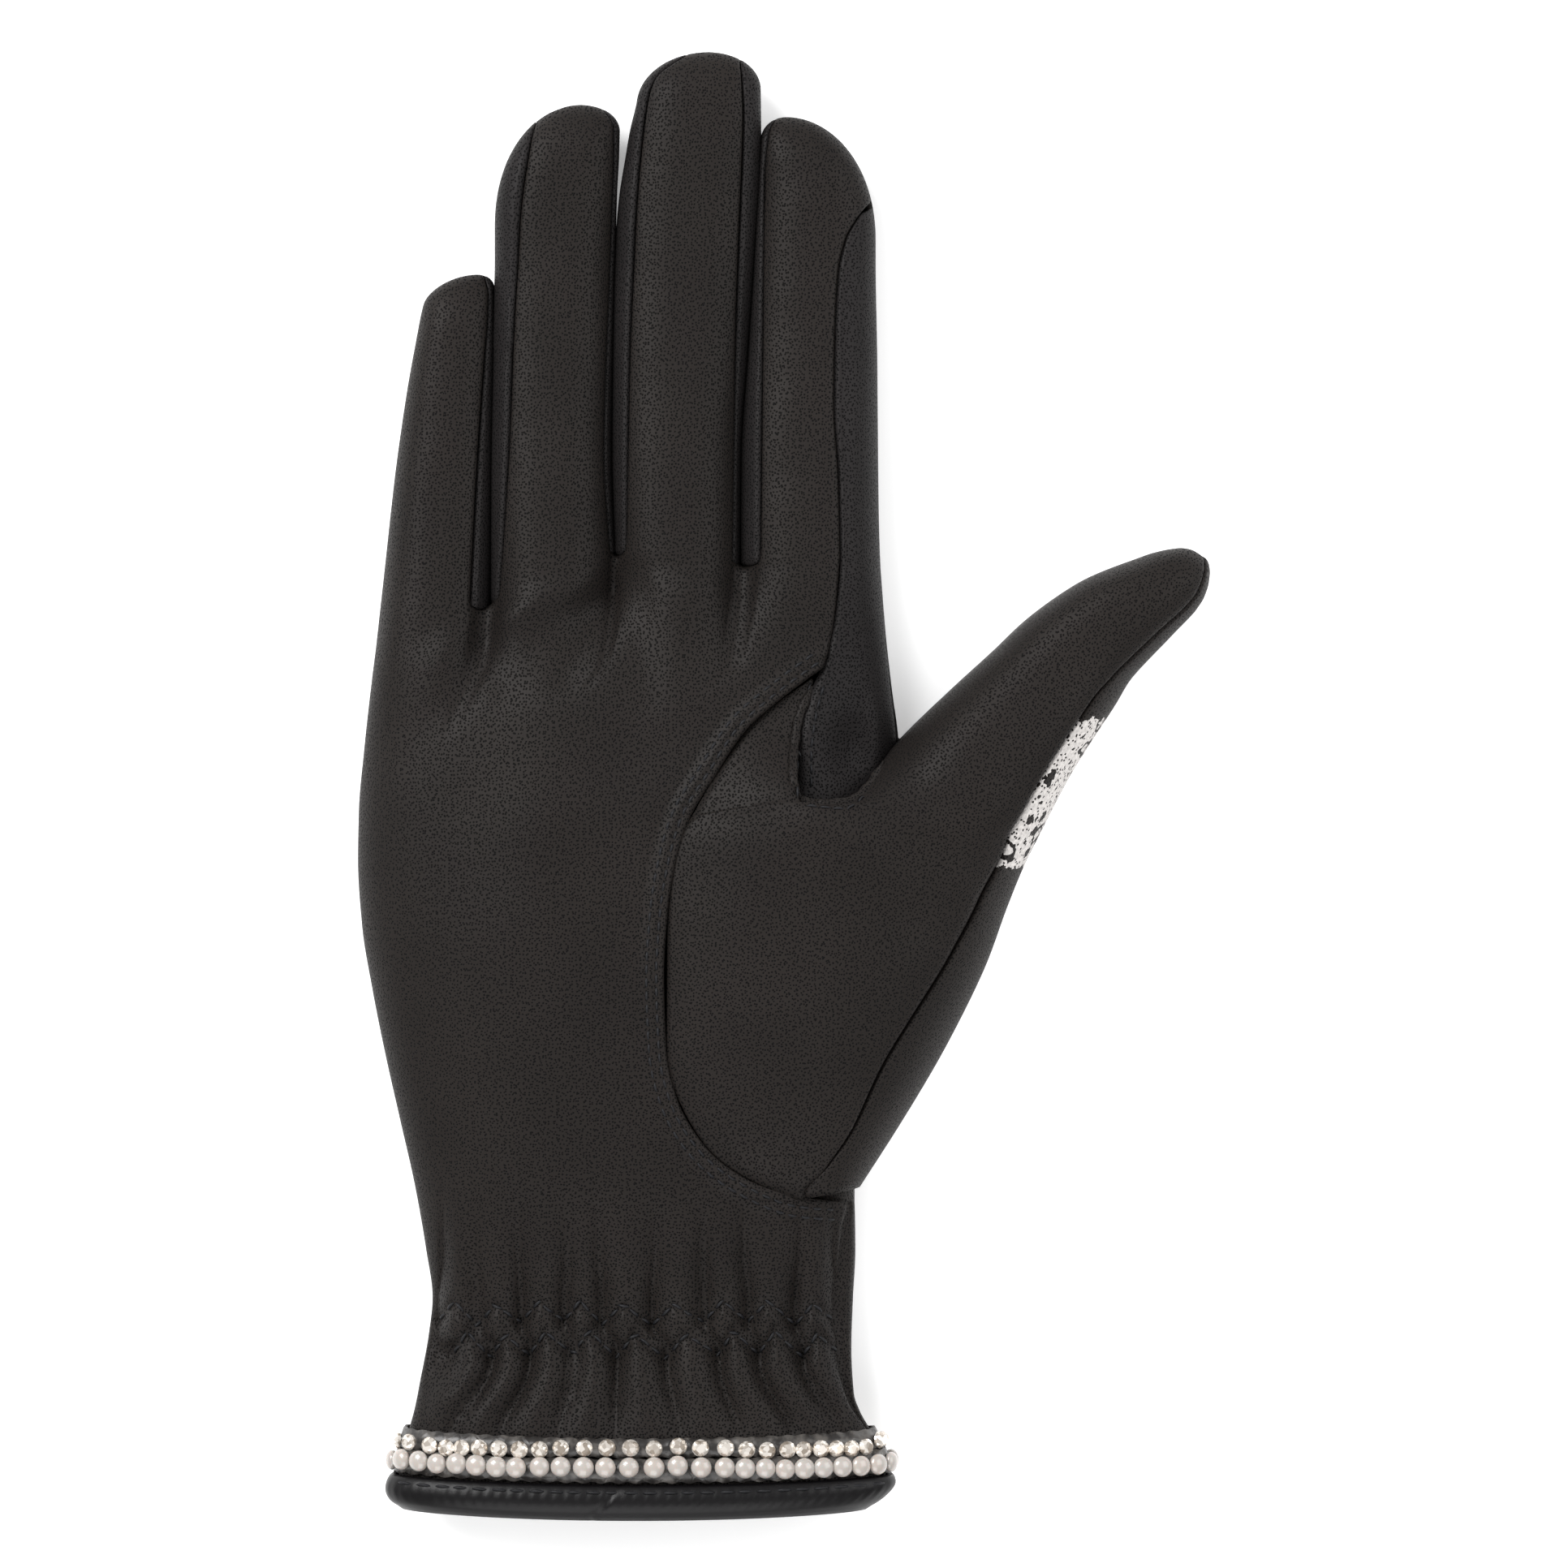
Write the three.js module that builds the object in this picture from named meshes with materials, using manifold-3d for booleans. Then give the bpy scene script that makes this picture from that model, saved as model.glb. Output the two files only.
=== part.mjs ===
// Horse riding glove for the right hand, lying on its back with the palm up.
// Millimetres. +X points to the thumb, +Y to the fingertips, +Z up out of the palm.
// Lengths along Y are measured from the cuff's rim; the last lines move the origin under the palm.
import * as THREE from "three";
import { mergeVertices } from "three/addons/utils/BufferGeometryUtils.js";
import Module from "manifold-3d";

const wasm = await Module();
wasm.setup();

// Driving dimensions of the leather
const palmLength = 158.6; // rim to the crotch between ring and middle finger
const palmWidth = 88; // widest place, below the knuckles
const palmThickness = 22.5;
const wristWidth = 69; // at the gathers
const wristThickness = 14.5;
const cuffWidth = 79;
const cuffThickness = 15.5;
const leather = 1.2;
const seamGap = 0.3; // clearance between two pieces that are sewn together
const trimGap = 0.5; // clearance under the trim tapes, whose stretches are straight
const restSag = 1.4; // how far the back would hang under the floor if it were not pressed flat

// Driving dimensions of the fingers and the thumb
const littleWidth = 17.1;
const ringWidth = 21.2;
const middleWidth = 22.8;
const indexWidth = 20.8;
const littleReach = 44.8; // tip above the crotch between ring and middle finger
const ringReach = 72.7;
const middleReach = 81.4;
const indexReach = 71;
const fingerThickness = 14;
const fingerLift = 2.4; // of the tips above the floor
const fingerGap = 0.5; // between two fingers
const thumbLength = 53.5; // from the middle of its root to the tip
const thumbWidth = 24.7;
const thumbThickness = 17;
const thumbAngle = 45; // degrees above +X
const moundHeight = 25.5; // ball of the thumb above the floor

// Driving dimensions of the gathers and the trim
const gatherCount = 9;
const gatherDepth = 1.5;
const cuffBow = 1.8; // height of the rim's ends above its middle
const bindingHeight = 5.9;
const bindingWall = 1.4;
const bindingSeat = 1.8; // height of the channel's bottom, which takes the leather's edge
const tapeThickness = 0.8;
const pearlDiameter = 3.3;
const pearlPitch = 3.8;
const crystalDiameter = 2.7;
const crystalPitch = 3.8;

// Shares of those sizes
const backSeamShare = 0.44; // height of the seam round the back, of fingerThickness
const knuckleShare = 0.503; // of the knuckles' width that is left of the middle line
const leanShare = 0.85; // of a finger's reach over which it leans
const fingerRoot = 0.85; // of palmLength, where the finger tubes start inside the palm
const restShare = 0.72; // of palmLength, where the origin lies
const sideShare = 0.45; // of a section's height, where its round corners meet
const endShare = 0.95; // of a section's half width, the most that a corner's radius takes

// Places that follow from the sizes and shares above
const seamHeight = backSeamShare * fingerThickness;
const knuckleWidth = littleWidth + ringWidth + middleWidth + indexWidth;
const knuckleLeft = -knuckleShare * knuckleWidth;
const ringLeft = knuckleLeft + littleWidth;
const middleLeft = ringLeft + ringWidth;
const indexLeft = middleLeft + middleWidth;
const knuckleRight = indexLeft + indexWidth;
const leatherEdge = bindingSeat + seamGap;
const cuffLift = trimGap + tapeThickness + 0.5 * pearlDiameter; // keeps the pearls off the floor
const pearlTapeLow = bindingHeight + seamGap;
const pearlTapeHigh = pearlTapeLow + pearlDiameter + seamGap;
const crystalTapeLow = pearlTapeHigh + seamGap;
const crystalTapeHigh = crystalTapeLow + crystalDiameter + seamGap;
const farAway = 2 * palmLength; // past every piece, for the cutters
const skyHigh = 4 * palmThickness;

const cuff = { width: cuffWidth, thick: cuffThickness };
const wrist = { width: wristWidth, thick: wristThickness };
const palm = { width: palmWidth, thick: palmThickness };
const knuckles = { width: knuckleWidth, thick: palmThickness };

// Sections of the palm, from the cuff to the knuckles. up: share of palmLength. part: the sizes that the
// next columns are shares of. left, right: shares of its width. over: share of its thickness.
// lift: share of cuffLift. sag: share of restSag. gather: share of gatherDepth. bow: share of cuffBow.
// rise: share of the slope that the crotches give the end.
const palmSections = [
  { up: leatherEdge / palmLength, part: cuff, left: -0.488, right: 0.53, over: 1, lift: 1, bow: 1 },
  { up: crystalTapeHigh / palmLength, part: cuff, left: -0.464, right: 0.502, over: 0.98, lift: 1, bow: 0.8 },
  { up: 0.106, part: wrist, left: -0.52, right: 0.535, over: 0.98, lift: 0.8, bow: 0.5, gather: 0.35 },
  { up: 0.155, part: wrist, left: -0.497, right: 0.522, over: 0.95, lift: 0.35, gather: 1 },
  { up: 0.2, part: wrist, left: -0.481, right: 0.518, over: 0.96, sag: 0.3, gather: 1 },
  { up: 0.24, part: wrist, left: -0.478, right: 0.522, over: 1, sag: 0.5, gather: 0.6 },
  { up: 0.3, part: wrist, left: -0.505, right: 0.527, over: 1.12, sag: 0.8, gather: 0.15 },
  { up: 0.38, part: palm, left: -0.423, right: 0.417, over: 0.82, sag: 1 },
  { up: 0.48, part: palm, left: -0.463, right: 0.428, over: 0.92, sag: 1 },
  { up: 0.6, part: palm, left: -0.505, right: 0.447, over: 1, sag: 1 },
  { up: 0.7, part: palm, left: -0.513, right: 0.468, over: 0.98, sag: 1 },
  { up: 0.81, part: palm, left: -0.498, right: 0.487, over: 0.9, sag: 1 },
  { up: 0.87, part: knuckles, left: -0.526, right: 0.51, over: 0.83, sag: 1, rise: 0.35 },
  { up: 0.905, part: knuckles, left: -0.51, right: 0.5, over: 0.76, sag: 0.9, rise: 0.8 },
  { up: 0.925, part: knuckles, left: -0.47, right: 0.465, over: 0.58, sag: 0.3, rise: 1 },
];

// Height of each crotch above the last palm section, a share of palmLength, at a place across the knuckles
const crotchRise = [
  { across: knuckleLeft, rise: 0 },
  { across: ringLeft, rise: 0.012 },
  { across: middleLeft, rise: 0.075 },
  { across: indexLeft, rise: 0.063 },
  { across: knuckleRight, rise: 0.05 },
];

// Creases in the palm. across, up: middle of the crease, shares of palmWidth and palmLength.
// long, wide: shares of palmWidth. turn: degrees from +X. deep: share of palmThickness.
const palmCreases = [
  { across: -0.2, up: 0.86, long: 0.16, wide: 0.035, turn: 35, deep: 0.06 },
  { across: -0.02, up: 0.885, long: 0.15, wide: 0.035, turn: 40, deep: 0.06 },
  { across: 0.15, up: 0.9, long: 0.12, wide: 0.03, turn: -40, deep: 0.05 },
  { across: -0.05, up: 0.62, long: 0.3, wide: 0.09, turn: 75, deep: 0.05 },
];

// The four fingers. tipLeft, tipRight: how far each side has moved across at the tip, a share of the width.
// peak: place of the highest point of the tip, a share of the width from the left.
const fingers = [
  { left: knuckleLeft, width: littleWidth, reach: littleReach, tipLeft: 0.33, tipRight: 0.06, peak: 0.95 },
  { left: ringLeft, width: ringWidth, reach: ringReach, tipLeft: 0.14, tipRight: 0.03, peak: 0.85 },
  { left: middleLeft, width: middleWidth, reach: middleReach, tipLeft: 0.065, tipRight: 0.045, peak: 0.85 },
  { left: indexLeft, width: indexWidth, reach: indexReach, tipLeft: 0.03, tipRight: -0.07, peak: 0.1 },
];

// Sections of a finger. up: share of the way from its root to its tip. wide: share of its width.
// over: share of fingerThickness. lift: share of fingerLift. sag: share of restSag.
const fingerSections = [
  { up: 0, wide: 0.96, over: 1.2, lift: 0, sag: 0.6 },
  { up: 0.2, wide: 0.97, over: 1.17, lift: 0, sag: 0.6 },
  { up: 0.38, wide: 1, over: 1.07, lift: 0.05, sag: 0.3 },
  { up: 0.6, wide: 1, over: 1, lift: 0.25, sag: 0 },
  { up: 0.82, wide: 1, over: 0.96, lift: 0.6, sag: 0 },
  { up: 0.91, wide: 0.97, over: 0.9, lift: 0.85, sag: 0 },
  { up: 0.965, wide: 0.8, over: 0.78, lift: 1.2, sag: 0 },
  { up: 0.993, wide: 0.5, over: 0.56, lift: 1.9, sag: 0 },
];

// Sections of the ball of the thumb. Points of the left and right side: shares of palmWidth and palmLength.
// over: share of moundHeight. under: share of thumbThickness.
const moundSections = [
  { left: [0.273, 0.358], right: [0.443, 0.351], over: 0.45, under: 0.13 },
  { left: [0.151, 0.417], right: [0.512, 0.417], over: 0.66, under: 0.09 },
  { left: [0.083, 0.501], right: [0.598, 0.501], over: 0.86, under: 0.06 },
  { left: [0.068, 0.602], right: [0.669, 0.581], over: 0.98, under: 0.06 },
  { left: [0.121, 0.711], right: [0.707, 0.635], over: 1, under: 0.06 },
  { left: [0.288, 0.79], right: [0.73, 0.665], over: 0.95, under: 0.06 },
];
const thumbRoot = { across: 0.616, up: 0.749 }; // shares of palmWidth and palmLength

// Sections of the thumb's tube. along: share of thumbLength. left, right: shares of thumbWidth off its axis.
// over, under: shares of thumbThickness.
const thumbSections = [
  { along: 0, left: -0.56, right: 0.6, over: 1.27, under: 0.06 },
  { along: 0.25, left: -0.51, right: 0.44, over: 1.13, under: 0.08 },
  { along: 0.5, left: -0.53, right: 0.335, over: 1.07, under: 0.11 },
  { along: 0.75, left: -0.46, right: 0.26, over: 1.03, under: 0.15 },
  { along: 0.9, left: -0.33, right: 0.25, over: 0.95, under: 0.22 },
  { along: 0.97, left: -0.23, right: 0.21, over: 0.84, under: 0.34 },
  { along: 1.02, left: -0.09, right: 0.11, over: 0.7, under: 0.48 },
];

// Seam lines seen from the front, as [across, up] shares of palmWidth and palmLength
const thumbInsetSeam = [
  [0.356, 0.875], [0.273, 0.841], [0.212, 0.812], [0.151, 0.761], [0.106, 0.719], [0.083, 0.677],
  [0.066, 0.61], [0.061, 0.55], [0.064, 0.484], [0.083, 0.434], [0.136, 0.383], [0.22, 0.35],
  [0.31, 0.324], [0.416, 0.337],
];
const gussetSeam = [
  [0.356, 0.875], [0.335, 0.84], [0.31, 0.74], [0.401, 0.74], [0.454, 0.774], [0.491, 0.799],
];
const moundSeam = [
  [0.689, 0.677], [0.659, 0.648], [0.591, 0.576], [0.53, 0.526], [0.469, 0.467], [0.424, 0.417],
  [0.363, 0.366],
];
const thumbBackSeam = [[0.47, 0.8], [0.42, 0.6], [0.385, 0.32]];
// Seam along the thumb, as [along, across] shares of thumbLength and thumbWidth
const thumbSideSeam = [
  [1.1, 0.04], [0.95, 0.16], [0.83, 0.2], [0.66, 0.2], [0.49, 0.19], [0.38, 0.22], [0.22, 0.3],
  [0.06, 0.39],
];
// Edge of the gathered palm leather beside the flat back leather, shares of wristWidth and palmLength
const wristSeam = [
  [0.56, 0.32], [0.502, 0.299], [0.492, 0.261], [0.435, 0.232], [0.425, 0.19], [0.4635, 0.139],
  [0.5, 0.085], [0.5, 0],
];
// Seam of the index side panel, as [inset, along] shares of indexWidth from the right side and of indexReach
const indexSideSeam = [
  [-0.1, 0.8], [0.15, 0.77], [0.27, 0.72], [0.31, 0.64], [0.34, 0.4], [0.3, 0.15], [0.3, 0.02],
];
// The strips between two fingers, in order. left, right: how far each goes in on the finger to its left
// and to its right, a share of that finger's width.
const fourchettes = [
  { name: "fourchette_little_ring", left: 0.11, right: 0.11 },
  { name: "fourchette_ring_middle", left: 0.105, right: 0.1 },
  { name: "fourchette_middle_index", left: 0.125, right: 0.065 },
];

// Profile of the binding, from its channel's floor inwards and round. out: share of bindingWall, off the
// channel's inner side or its outer side. up: share of bindingHeight.
const bindingInside = [{ out: 0, up: 0.7 }, { out: 0.7, up: 0.7 }, { out: 1, up: 0.35 }];
const bindingOutside = [{ out: 0.8, up: 0.18 }, { out: 1, up: 0.6 }, { out: 0.5, up: 1 }, { out: 0, up: 1 }];

// Stones of the trim. rings: [radius, height] of the rings above the tape. top: height of the middle.
// All are shares of the stone's radius.
const pearlShape = { sides: 10, rings: [[1, 0], [0.78, 0.65]], top: 0.95 };
const crystalShape = { sides: 8, rings: [[1, 0], [0.55, 0.6]], top: 0.6 };

// Points of a section: along each round corner, then along the straight front and back
const CORNER_STEPS = 2;
const GATHER_STEPS = { front: 2 * gatherCount, back: 3 };
const PALM_STEPS = { front: 8, back: 3 };
const KNUCKLE_STEPS = { front: 14, back: 6 };
const FINGER_STEPS = { front: 2, back: 1 };
const THUMB_STEPS = { front: 4, back: 1 };
const TRIM_STEPS = 2000; // points of the cuff's turn that the tapes are measured on

/** Closed solid of a geometry, for cutting and joining. */
function solid(geometry) {
  geometry.deleteAttribute("normal");
  geometry.deleteAttribute("uv");
  const merged = mergeVertices(geometry, 1e-5);
  return new wasm.Manifold(new wasm.Mesh({
    numProp: 3,
    vertProperties: new Float32Array(merged.attributes.position.array),
    triVerts: new Uint32Array(merged.index.array),
  }));
}

/** Closed solid from its points and triangles. */
function meshSolid(points, triangles) {
  const geometry = new THREE.BufferGeometry();
  const coordinates = points.flatMap((point) => point.toArray());
  geometry.setAttribute("position", new THREE.Float32BufferAttribute(coordinates, 3));
  geometry.setIndex(triangles);
  return solid(geometry);
}

/** Geometry of a finished solid. */
function geometryOf(body) {
  const mesh = body.getMesh();
  const geometry = new THREE.BufferGeometry();
  const coordinates = new Float32Array(mesh.vertProperties);
  geometry.setAttribute("position", new THREE.BufferAttribute(coordinates, mesh.numProp));
  geometry.setIndex(new THREE.BufferAttribute(new Uint32Array(mesh.triVerts), 1));
  const flat = geometry.toNonIndexed();
  flat.computeVertexNormals();
  return flat;
}

/** Triangles between two closed rings: at each step the ring whose next point comes first moves on. */
function zip(low, high) {
  const nextTurn = (ring, k) => (k + 1 < ring.turns.length ? ring.turns[k + 1] : 1);
  const vertex = (ring, k) => ring.start + (k % ring.turns.length);
  const triangles = [];
  let [i, j] = [0, 0];
  while (i < low.turns.length || j < high.turns.length) {
    const highDone = j >= high.turns.length;
    const lowMoves = highDone || (i < low.turns.length && nextTurn(low, i) <= nextTurn(high, j));
    triangles.push(vertex(low, i), vertex(high, j), lowMoves ? vertex(low, i + 1) : vertex(high, j + 1));
    i += lowMoves ? 1 : 0;
    j += lowMoves ? 0 : 1;
  }
  return triangles;
}

/** Triangles that close a ring by strips from its front to its back, so that the end follows both. */
function closeEnd(ring, isLast) {
  const count = ring.turns.length;
  const triangles = [];
  let [front, back] = [0, count];
  while (back - front > 1) {
    const frontMoves = ring.turns[front + 1] <= 1 - ring.turns[back - 1];
    const corners = [front, frontMoves ? front + 1 : back - 1, back].map((k) => ring.start + (k % count));
    if (new Set(corners).size === 3) triangles.push(...(isLast ? corners.reverse() : corners));
    front += frontMoves ? 1 : 0;
    back -= frontMoves ? 0 : 1;
  }
  return triangles;
}

/** Solid through closed rings, each with the turn and the place of its points. */
function loft(rings) {
  const points = [];
  rings.forEach((ring) => {
    ring.start = points.length;
    points.push(...ring.points);
  });
  const sides = rings.slice(1).flatMap((ring, r) => zip(rings[r], ring));
  return meshSolid(points, [...sides, ...closeEnd(rings[0], false), ...closeEnd(rings.at(-1), true)]);
}

// Shares of the turn round a section that its corners take; the straight front and back take the rest
const CORNER = 0.1;
const HALF = 0.5;

/** Turns of a section's points, from the right side over the front to the left side and back underneath. */
function turnsOf(steps) {
  const over = (count) => {
    const corner = Array.from({ length: CORNER_STEPS }, (_, k) => (CORNER * k) / CORNER_STEPS);
    const straight = Array.from({ length: count }, (_, k) => CORNER + ((HALF - 2 * CORNER) * k) / count);
    return [...corner, ...straight, ...corner.map((turn) => turn + HALF - CORNER)];
  };
  return [...over(steps.front), ...over(steps.back).map((turn) => turn + HALF)];
}

/** Place on the top half of a section: share of the way across, share of a corner and its height's sine. */
function upperPlace(turn) {
  const nearest = Math.min(turn, HALF - turn);
  const side = turn < 0.5 * HALF ? 1 : -1;
  const across = 1 - (2 * (turn - CORNER)) / (HALF - 2 * CORNER);
  if (nearest >= CORNER) return { across, corner: 0, sine: 1 };
  const angle = (0.5 * Math.PI * nearest) / CORNER;
  return { across: side, corner: side * Math.cos(angle), sine: Math.sin(angle) };
}

/**
 * Point of a soft tube's section: a chord from left to right, round corners, a domed top, a flat underside.
 * The section is offset outward by `out`; negative goes in, to the inner side of the leather.
 */
function sectionPoint(section, turn, out) {
  const { left, right, under, over, dome = 0.25 } = section;
  const half = right.clone().sub(left).multiplyScalar(0.5);
  const reach = half.length();
  const radius = Math.min(sideShare * (over - under), endShare * reach);
  const onTop = turn < HALF;
  const place = upperPlace(onTop ? turn : 2 * HALF - turn);
  const distance = place.across * (reach - radius) + place.corner * (radius + out);
  const side = under + sideShare * (over - under);
  const crown = dome * (over - side);
  const rise = over - side - crown + out;
  const sink = side - under + out;
  const domed = place.corner ? 0 : crown * (1 - place.across ** 2);
  const height = side + (onTop ? rise * place.sine + domed : -sink * place.sine);
  const middle = left.clone().add(right).multiplyScalar(0.5).addScaledVector(half, distance / reach);
  const floor = section.sags ? Math.max(0, -out) : -Infinity;
  return new THREE.Vector3(middle.x, middle.y, Math.max(height, floor));
}

/** Ring of a plain section. */
function ringOf(section, steps, out) {
  const turns = turnsOf(steps);
  return { turns, points: turns.map((turn) => sectionPoint(section, turn, out)) };
}

/** Value between the rows of a table that is sorted by one column. */
function between(rows, column, at, value) {
  const last = rows.findIndex((row) => row[column] >= at);
  if (last <= 0) return last === 0 ? value(rows[0]) : value(rows.at(-1));
  const [low, high] = [rows[last - 1], rows[last]];
  return THREE.MathUtils.mapLinear(at, low[column], high[column], value(low), value(high));
}

/** Section of the palm at a height above the rim, between the rows of its table. */
function palmSection(height) {
  const look = (value) => between(palmSections, "up", height / palmLength, value);
  const under = look((row) => cuffLift * (row.lift ?? 0) - restSag * (row.sag ?? 0));
  return {
    left: new THREE.Vector2(look((row) => row.left * row.part.width), height),
    right: new THREE.Vector2(look((row) => row.right * row.part.width), height),
    under,
    over: look((row) => row.over * row.part.thick + cuffLift * (row.lift ?? 0)),
    gather: look((row) => row.gather ?? 0),
    rise: look((row) => row.rise ?? 0),
    bow: look((row) => row.bow ?? 0) * cuffBow,
    sags: look((row) => row.sag ?? 0) > 0,
  };
}

/** How deep the creases are at a place on the palm. */
function creaseDepth(x, y) {
  return palmCreases.reduce((sum, crease) => {
    const turn = THREE.MathUtils.degToRad(crease.turn);
    const dx = x - crease.across * palmWidth;
    const dy = y - crease.up * palmLength;
    const along = (dx * Math.cos(turn) + dy * Math.sin(turn)) / (crease.long * palmWidth);
    const across = (dy * Math.cos(turn) - dx * Math.sin(turn)) / (crease.wide * palmWidth);
    return sum + crease.deep * palmThickness * Math.exp(-(along ** 2) - across ** 2);
  }, 0);
}

/** How far the bow of the cuff lifts a place towards the fingers. */
const bowAt = (section, x) => section.bow * (x / (0.5 * cuffWidth)) ** 2;

/** Ring of the palm at a height: the section, its gathers, its creases and the slope of the crotches. */
function palmRing(height, steps, out) {
  const section = palmSection(height);
  const turns = turnsOf(steps);
  const points = turns.map((turn) => {
    const point = sectionPoint(section, turn, out);
    const front = turn < HALF && upperPlace(turn).sine === 1;
    const wave = Math.cos((2 * Math.PI * gatherCount * (turn - CORNER)) / (HALF - 2 * CORNER));
    point.z += front ? 0.5 * gatherDepth * section.gather * wave - creaseDepth(point.x, point.y) : 0;
    point.y += section.rise * palmLength * between(crotchRise, "across", point.x, (row) => row.rise);
    point.y += bowAt(section, point.x);
    return point;
  });
  return { turns, points };
}

/** Palm tube, offset by `out`; the inner one runs out through the cuff. */
function palmTube(out) {
  const steps = (row) => (row.gather ? GATHER_STEPS : row.rise > 0.5 ? KNUCKLE_STEPS : PALM_STEPS);
  const rings = palmSections.map((row) => palmRing(row.up * palmLength, steps(row), out));
  rings[rings.length - 1].points.forEach((point) => point.setY(point.y + out));
  const mouthPoints = rings[0].points.map((point) => point.clone().setY(-bindingHeight));
  const mouth = { turns: rings[0].turns, points: mouthPoints };
  return loft(out < 0 ? [mouth, ...rings] : rings);
}

/** Tube of one finger, offset by `out`. */
function fingerTube(finger, out) {
  const root = fingerRoot * palmLength;
  const tip = palmLength + finger.reach;
  const rings = fingerSections.map((row, r) => {
    const height = root + row.up * (tip - root);
    const shift = THREE.MathUtils.clamp((height - palmLength) / (leanShare * finger.reach), 0, 1);
    const left = finger.left + 0.5 * fingerGap + shift * finger.tipLeft * finger.width;
    const right = finger.left + finger.width - 0.5 * fingerGap + shift * finger.tipRight * finger.width;
    const lean = row.up > 0.95 ? finger.peak : 0.5;
    const middle = left + (right - left) * (0.5 + (lean - 0.5) * (1 - row.wide));
    const half = 0.5 * row.wide * (right - left);
    const under = row.lift * fingerLift - row.sag * restSag;
    const y = height + (r === fingerSections.length - 1 ? out : 0);
    const section = {
      left: new THREE.Vector2(middle - half, y),
      right: new THREE.Vector2(middle + half, y),
      under,
      over: row.over * fingerThickness + row.lift * fingerLift * 0.5,
      dome: 0.2,
      sags: row.sag > 0,
    };
    return ringOf(section, FINGER_STEPS, out);
  });
  return loft(rings);
}

const thumbTurn = THREE.MathUtils.degToRad(thumbAngle);
const thumbAlong = new THREE.Vector2(Math.cos(thumbTurn), Math.sin(thumbTurn));
const thumbAcross = new THREE.Vector2(Math.sin(thumbTurn), -Math.cos(thumbTurn));

/** Place on the palm from its shares. */
const onPalm = ([across, up]) => new THREE.Vector2(across * palmWidth, up * palmLength);

/** Place on the thumb from its distances along and across it. */
function onThumb(along, across) {
  const root = onPalm([thumbRoot.across, thumbRoot.up]);
  return root.addScaledVector(thumbAlong, along).addScaledVector(thumbAcross, across);
}

/** Tube of the ball of the thumb and the thumb itself, offset by `out`. */
function thumbTube(out) {
  const mound = moundSections.map((row) => ({
    left: onPalm(row.left),
    right: onPalm(row.right),
    over: row.over * moundHeight,
    under: row.under * thumbThickness,
  }));
  const tube = thumbSections.map((row, r) => {
    const along = row.along * thumbLength + (r === thumbSections.length - 1 ? out : 0);
    return {
      left: onThumb(along, row.left * thumbWidth),
      right: onThumb(along, row.right * thumbWidth),
      over: row.over * thumbThickness,
      under: row.under * thumbThickness,
    };
  });
  return loft([...mound, ...tube].map((section) => ringOf(section, THUMB_STEPS, out)));
}

/** Upright prism over an outline of [x, y] places, from one height to another. */
function prism(outline, low, high) {
  const shape = new THREE.Shape(outline);
  const geometry = new THREE.ExtrudeGeometry(shape, { depth: high - low, bevelEnabled: false });
  geometry.translate(0, 0, low);
  return solid(geometry);
}

/** Thin upright wall along a line of places, which opens a seam's clearance. Its ends run on by as much. */
function ribbon(outline, low, high) {
  const runOn = (end, inner) => end.clone().add(end.clone().sub(inner).setLength(seamGap));
  const [first, last] = [runOn(outline[0], outline[1]), runOn(outline.at(-1), outline.at(-2))];
  const line = [first, ...outline.slice(1, -1), last];
  const sides = [[], []];
  line.forEach((place, k) => {
    const before = line[Math.max(0, k - 1)];
    const after = line[Math.min(line.length - 1, k + 1)];
    const heading = after.clone().sub(before).normalize();
    const into = k > 0 ? place.clone().sub(before).normalize() : heading;
    const reach = (0.5 * seamGap) / Math.max(0.5, heading.dot(into));
    const normal = new THREE.Vector2(-heading.y, heading.x).multiplyScalar(reach);
    sides[0].push(place.clone().add(normal));
    sides[1].unshift(place.clone().sub(normal));
  });
  return prism([...sides[0], ...sides[1]], low, high);
}

const join = (bodies) => bodies.reduce((all, body) => all.add(body));
const cut = (body, cutters) => cutters.reduce((rest, cutter) => rest.subtract(cutter), body);

// The whole leather shell
const fingerTubes = (out) => fingers.map((finger) => fingerTube(finger, out));
const tubes = (out) => join([palmTube(out), thumbTube(out), ...fingerTubes(out)]);
const shell = tubes(0).subtract(tubes(-leather));

// Seam lines in place
const place = (x, y) => new THREE.Vector2(x, y);
const insetLine = thumbInsetSeam.map(onPalm);
const gussetLine = gussetSeam.map(onPalm);
const thumbLine = [
  ...thumbSideSeam.map(([along, across]) => onThumb(along * thumbLength, across * thumbWidth)),
  ...moundSeam.map(onPalm),
  insetLine.at(-2),
];
const thumbBackLine = thumbBackSeam.map(onPalm);
const wristLine = wristSeam.map(([across, up]) => place(across * wristWidth, up * palmLength));
const indexLine = [
  ...indexSideSeam.map(([inset, along]) =>
    place(knuckleRight - inset * indexWidth, palmLength + along * indexReach)),
  gussetLine[0],
];
const crotch = gussetLine.at(-1);
const aboveCrotch = place(crotch.x, crotch.y + 3 * leather);
const pastIndex = knuckleRight + 0.5 * indexWidth;
const besideIndex = [aboveCrotch, place(pastIndex, palmLength), place(pastIndex, farAway)];

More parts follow.
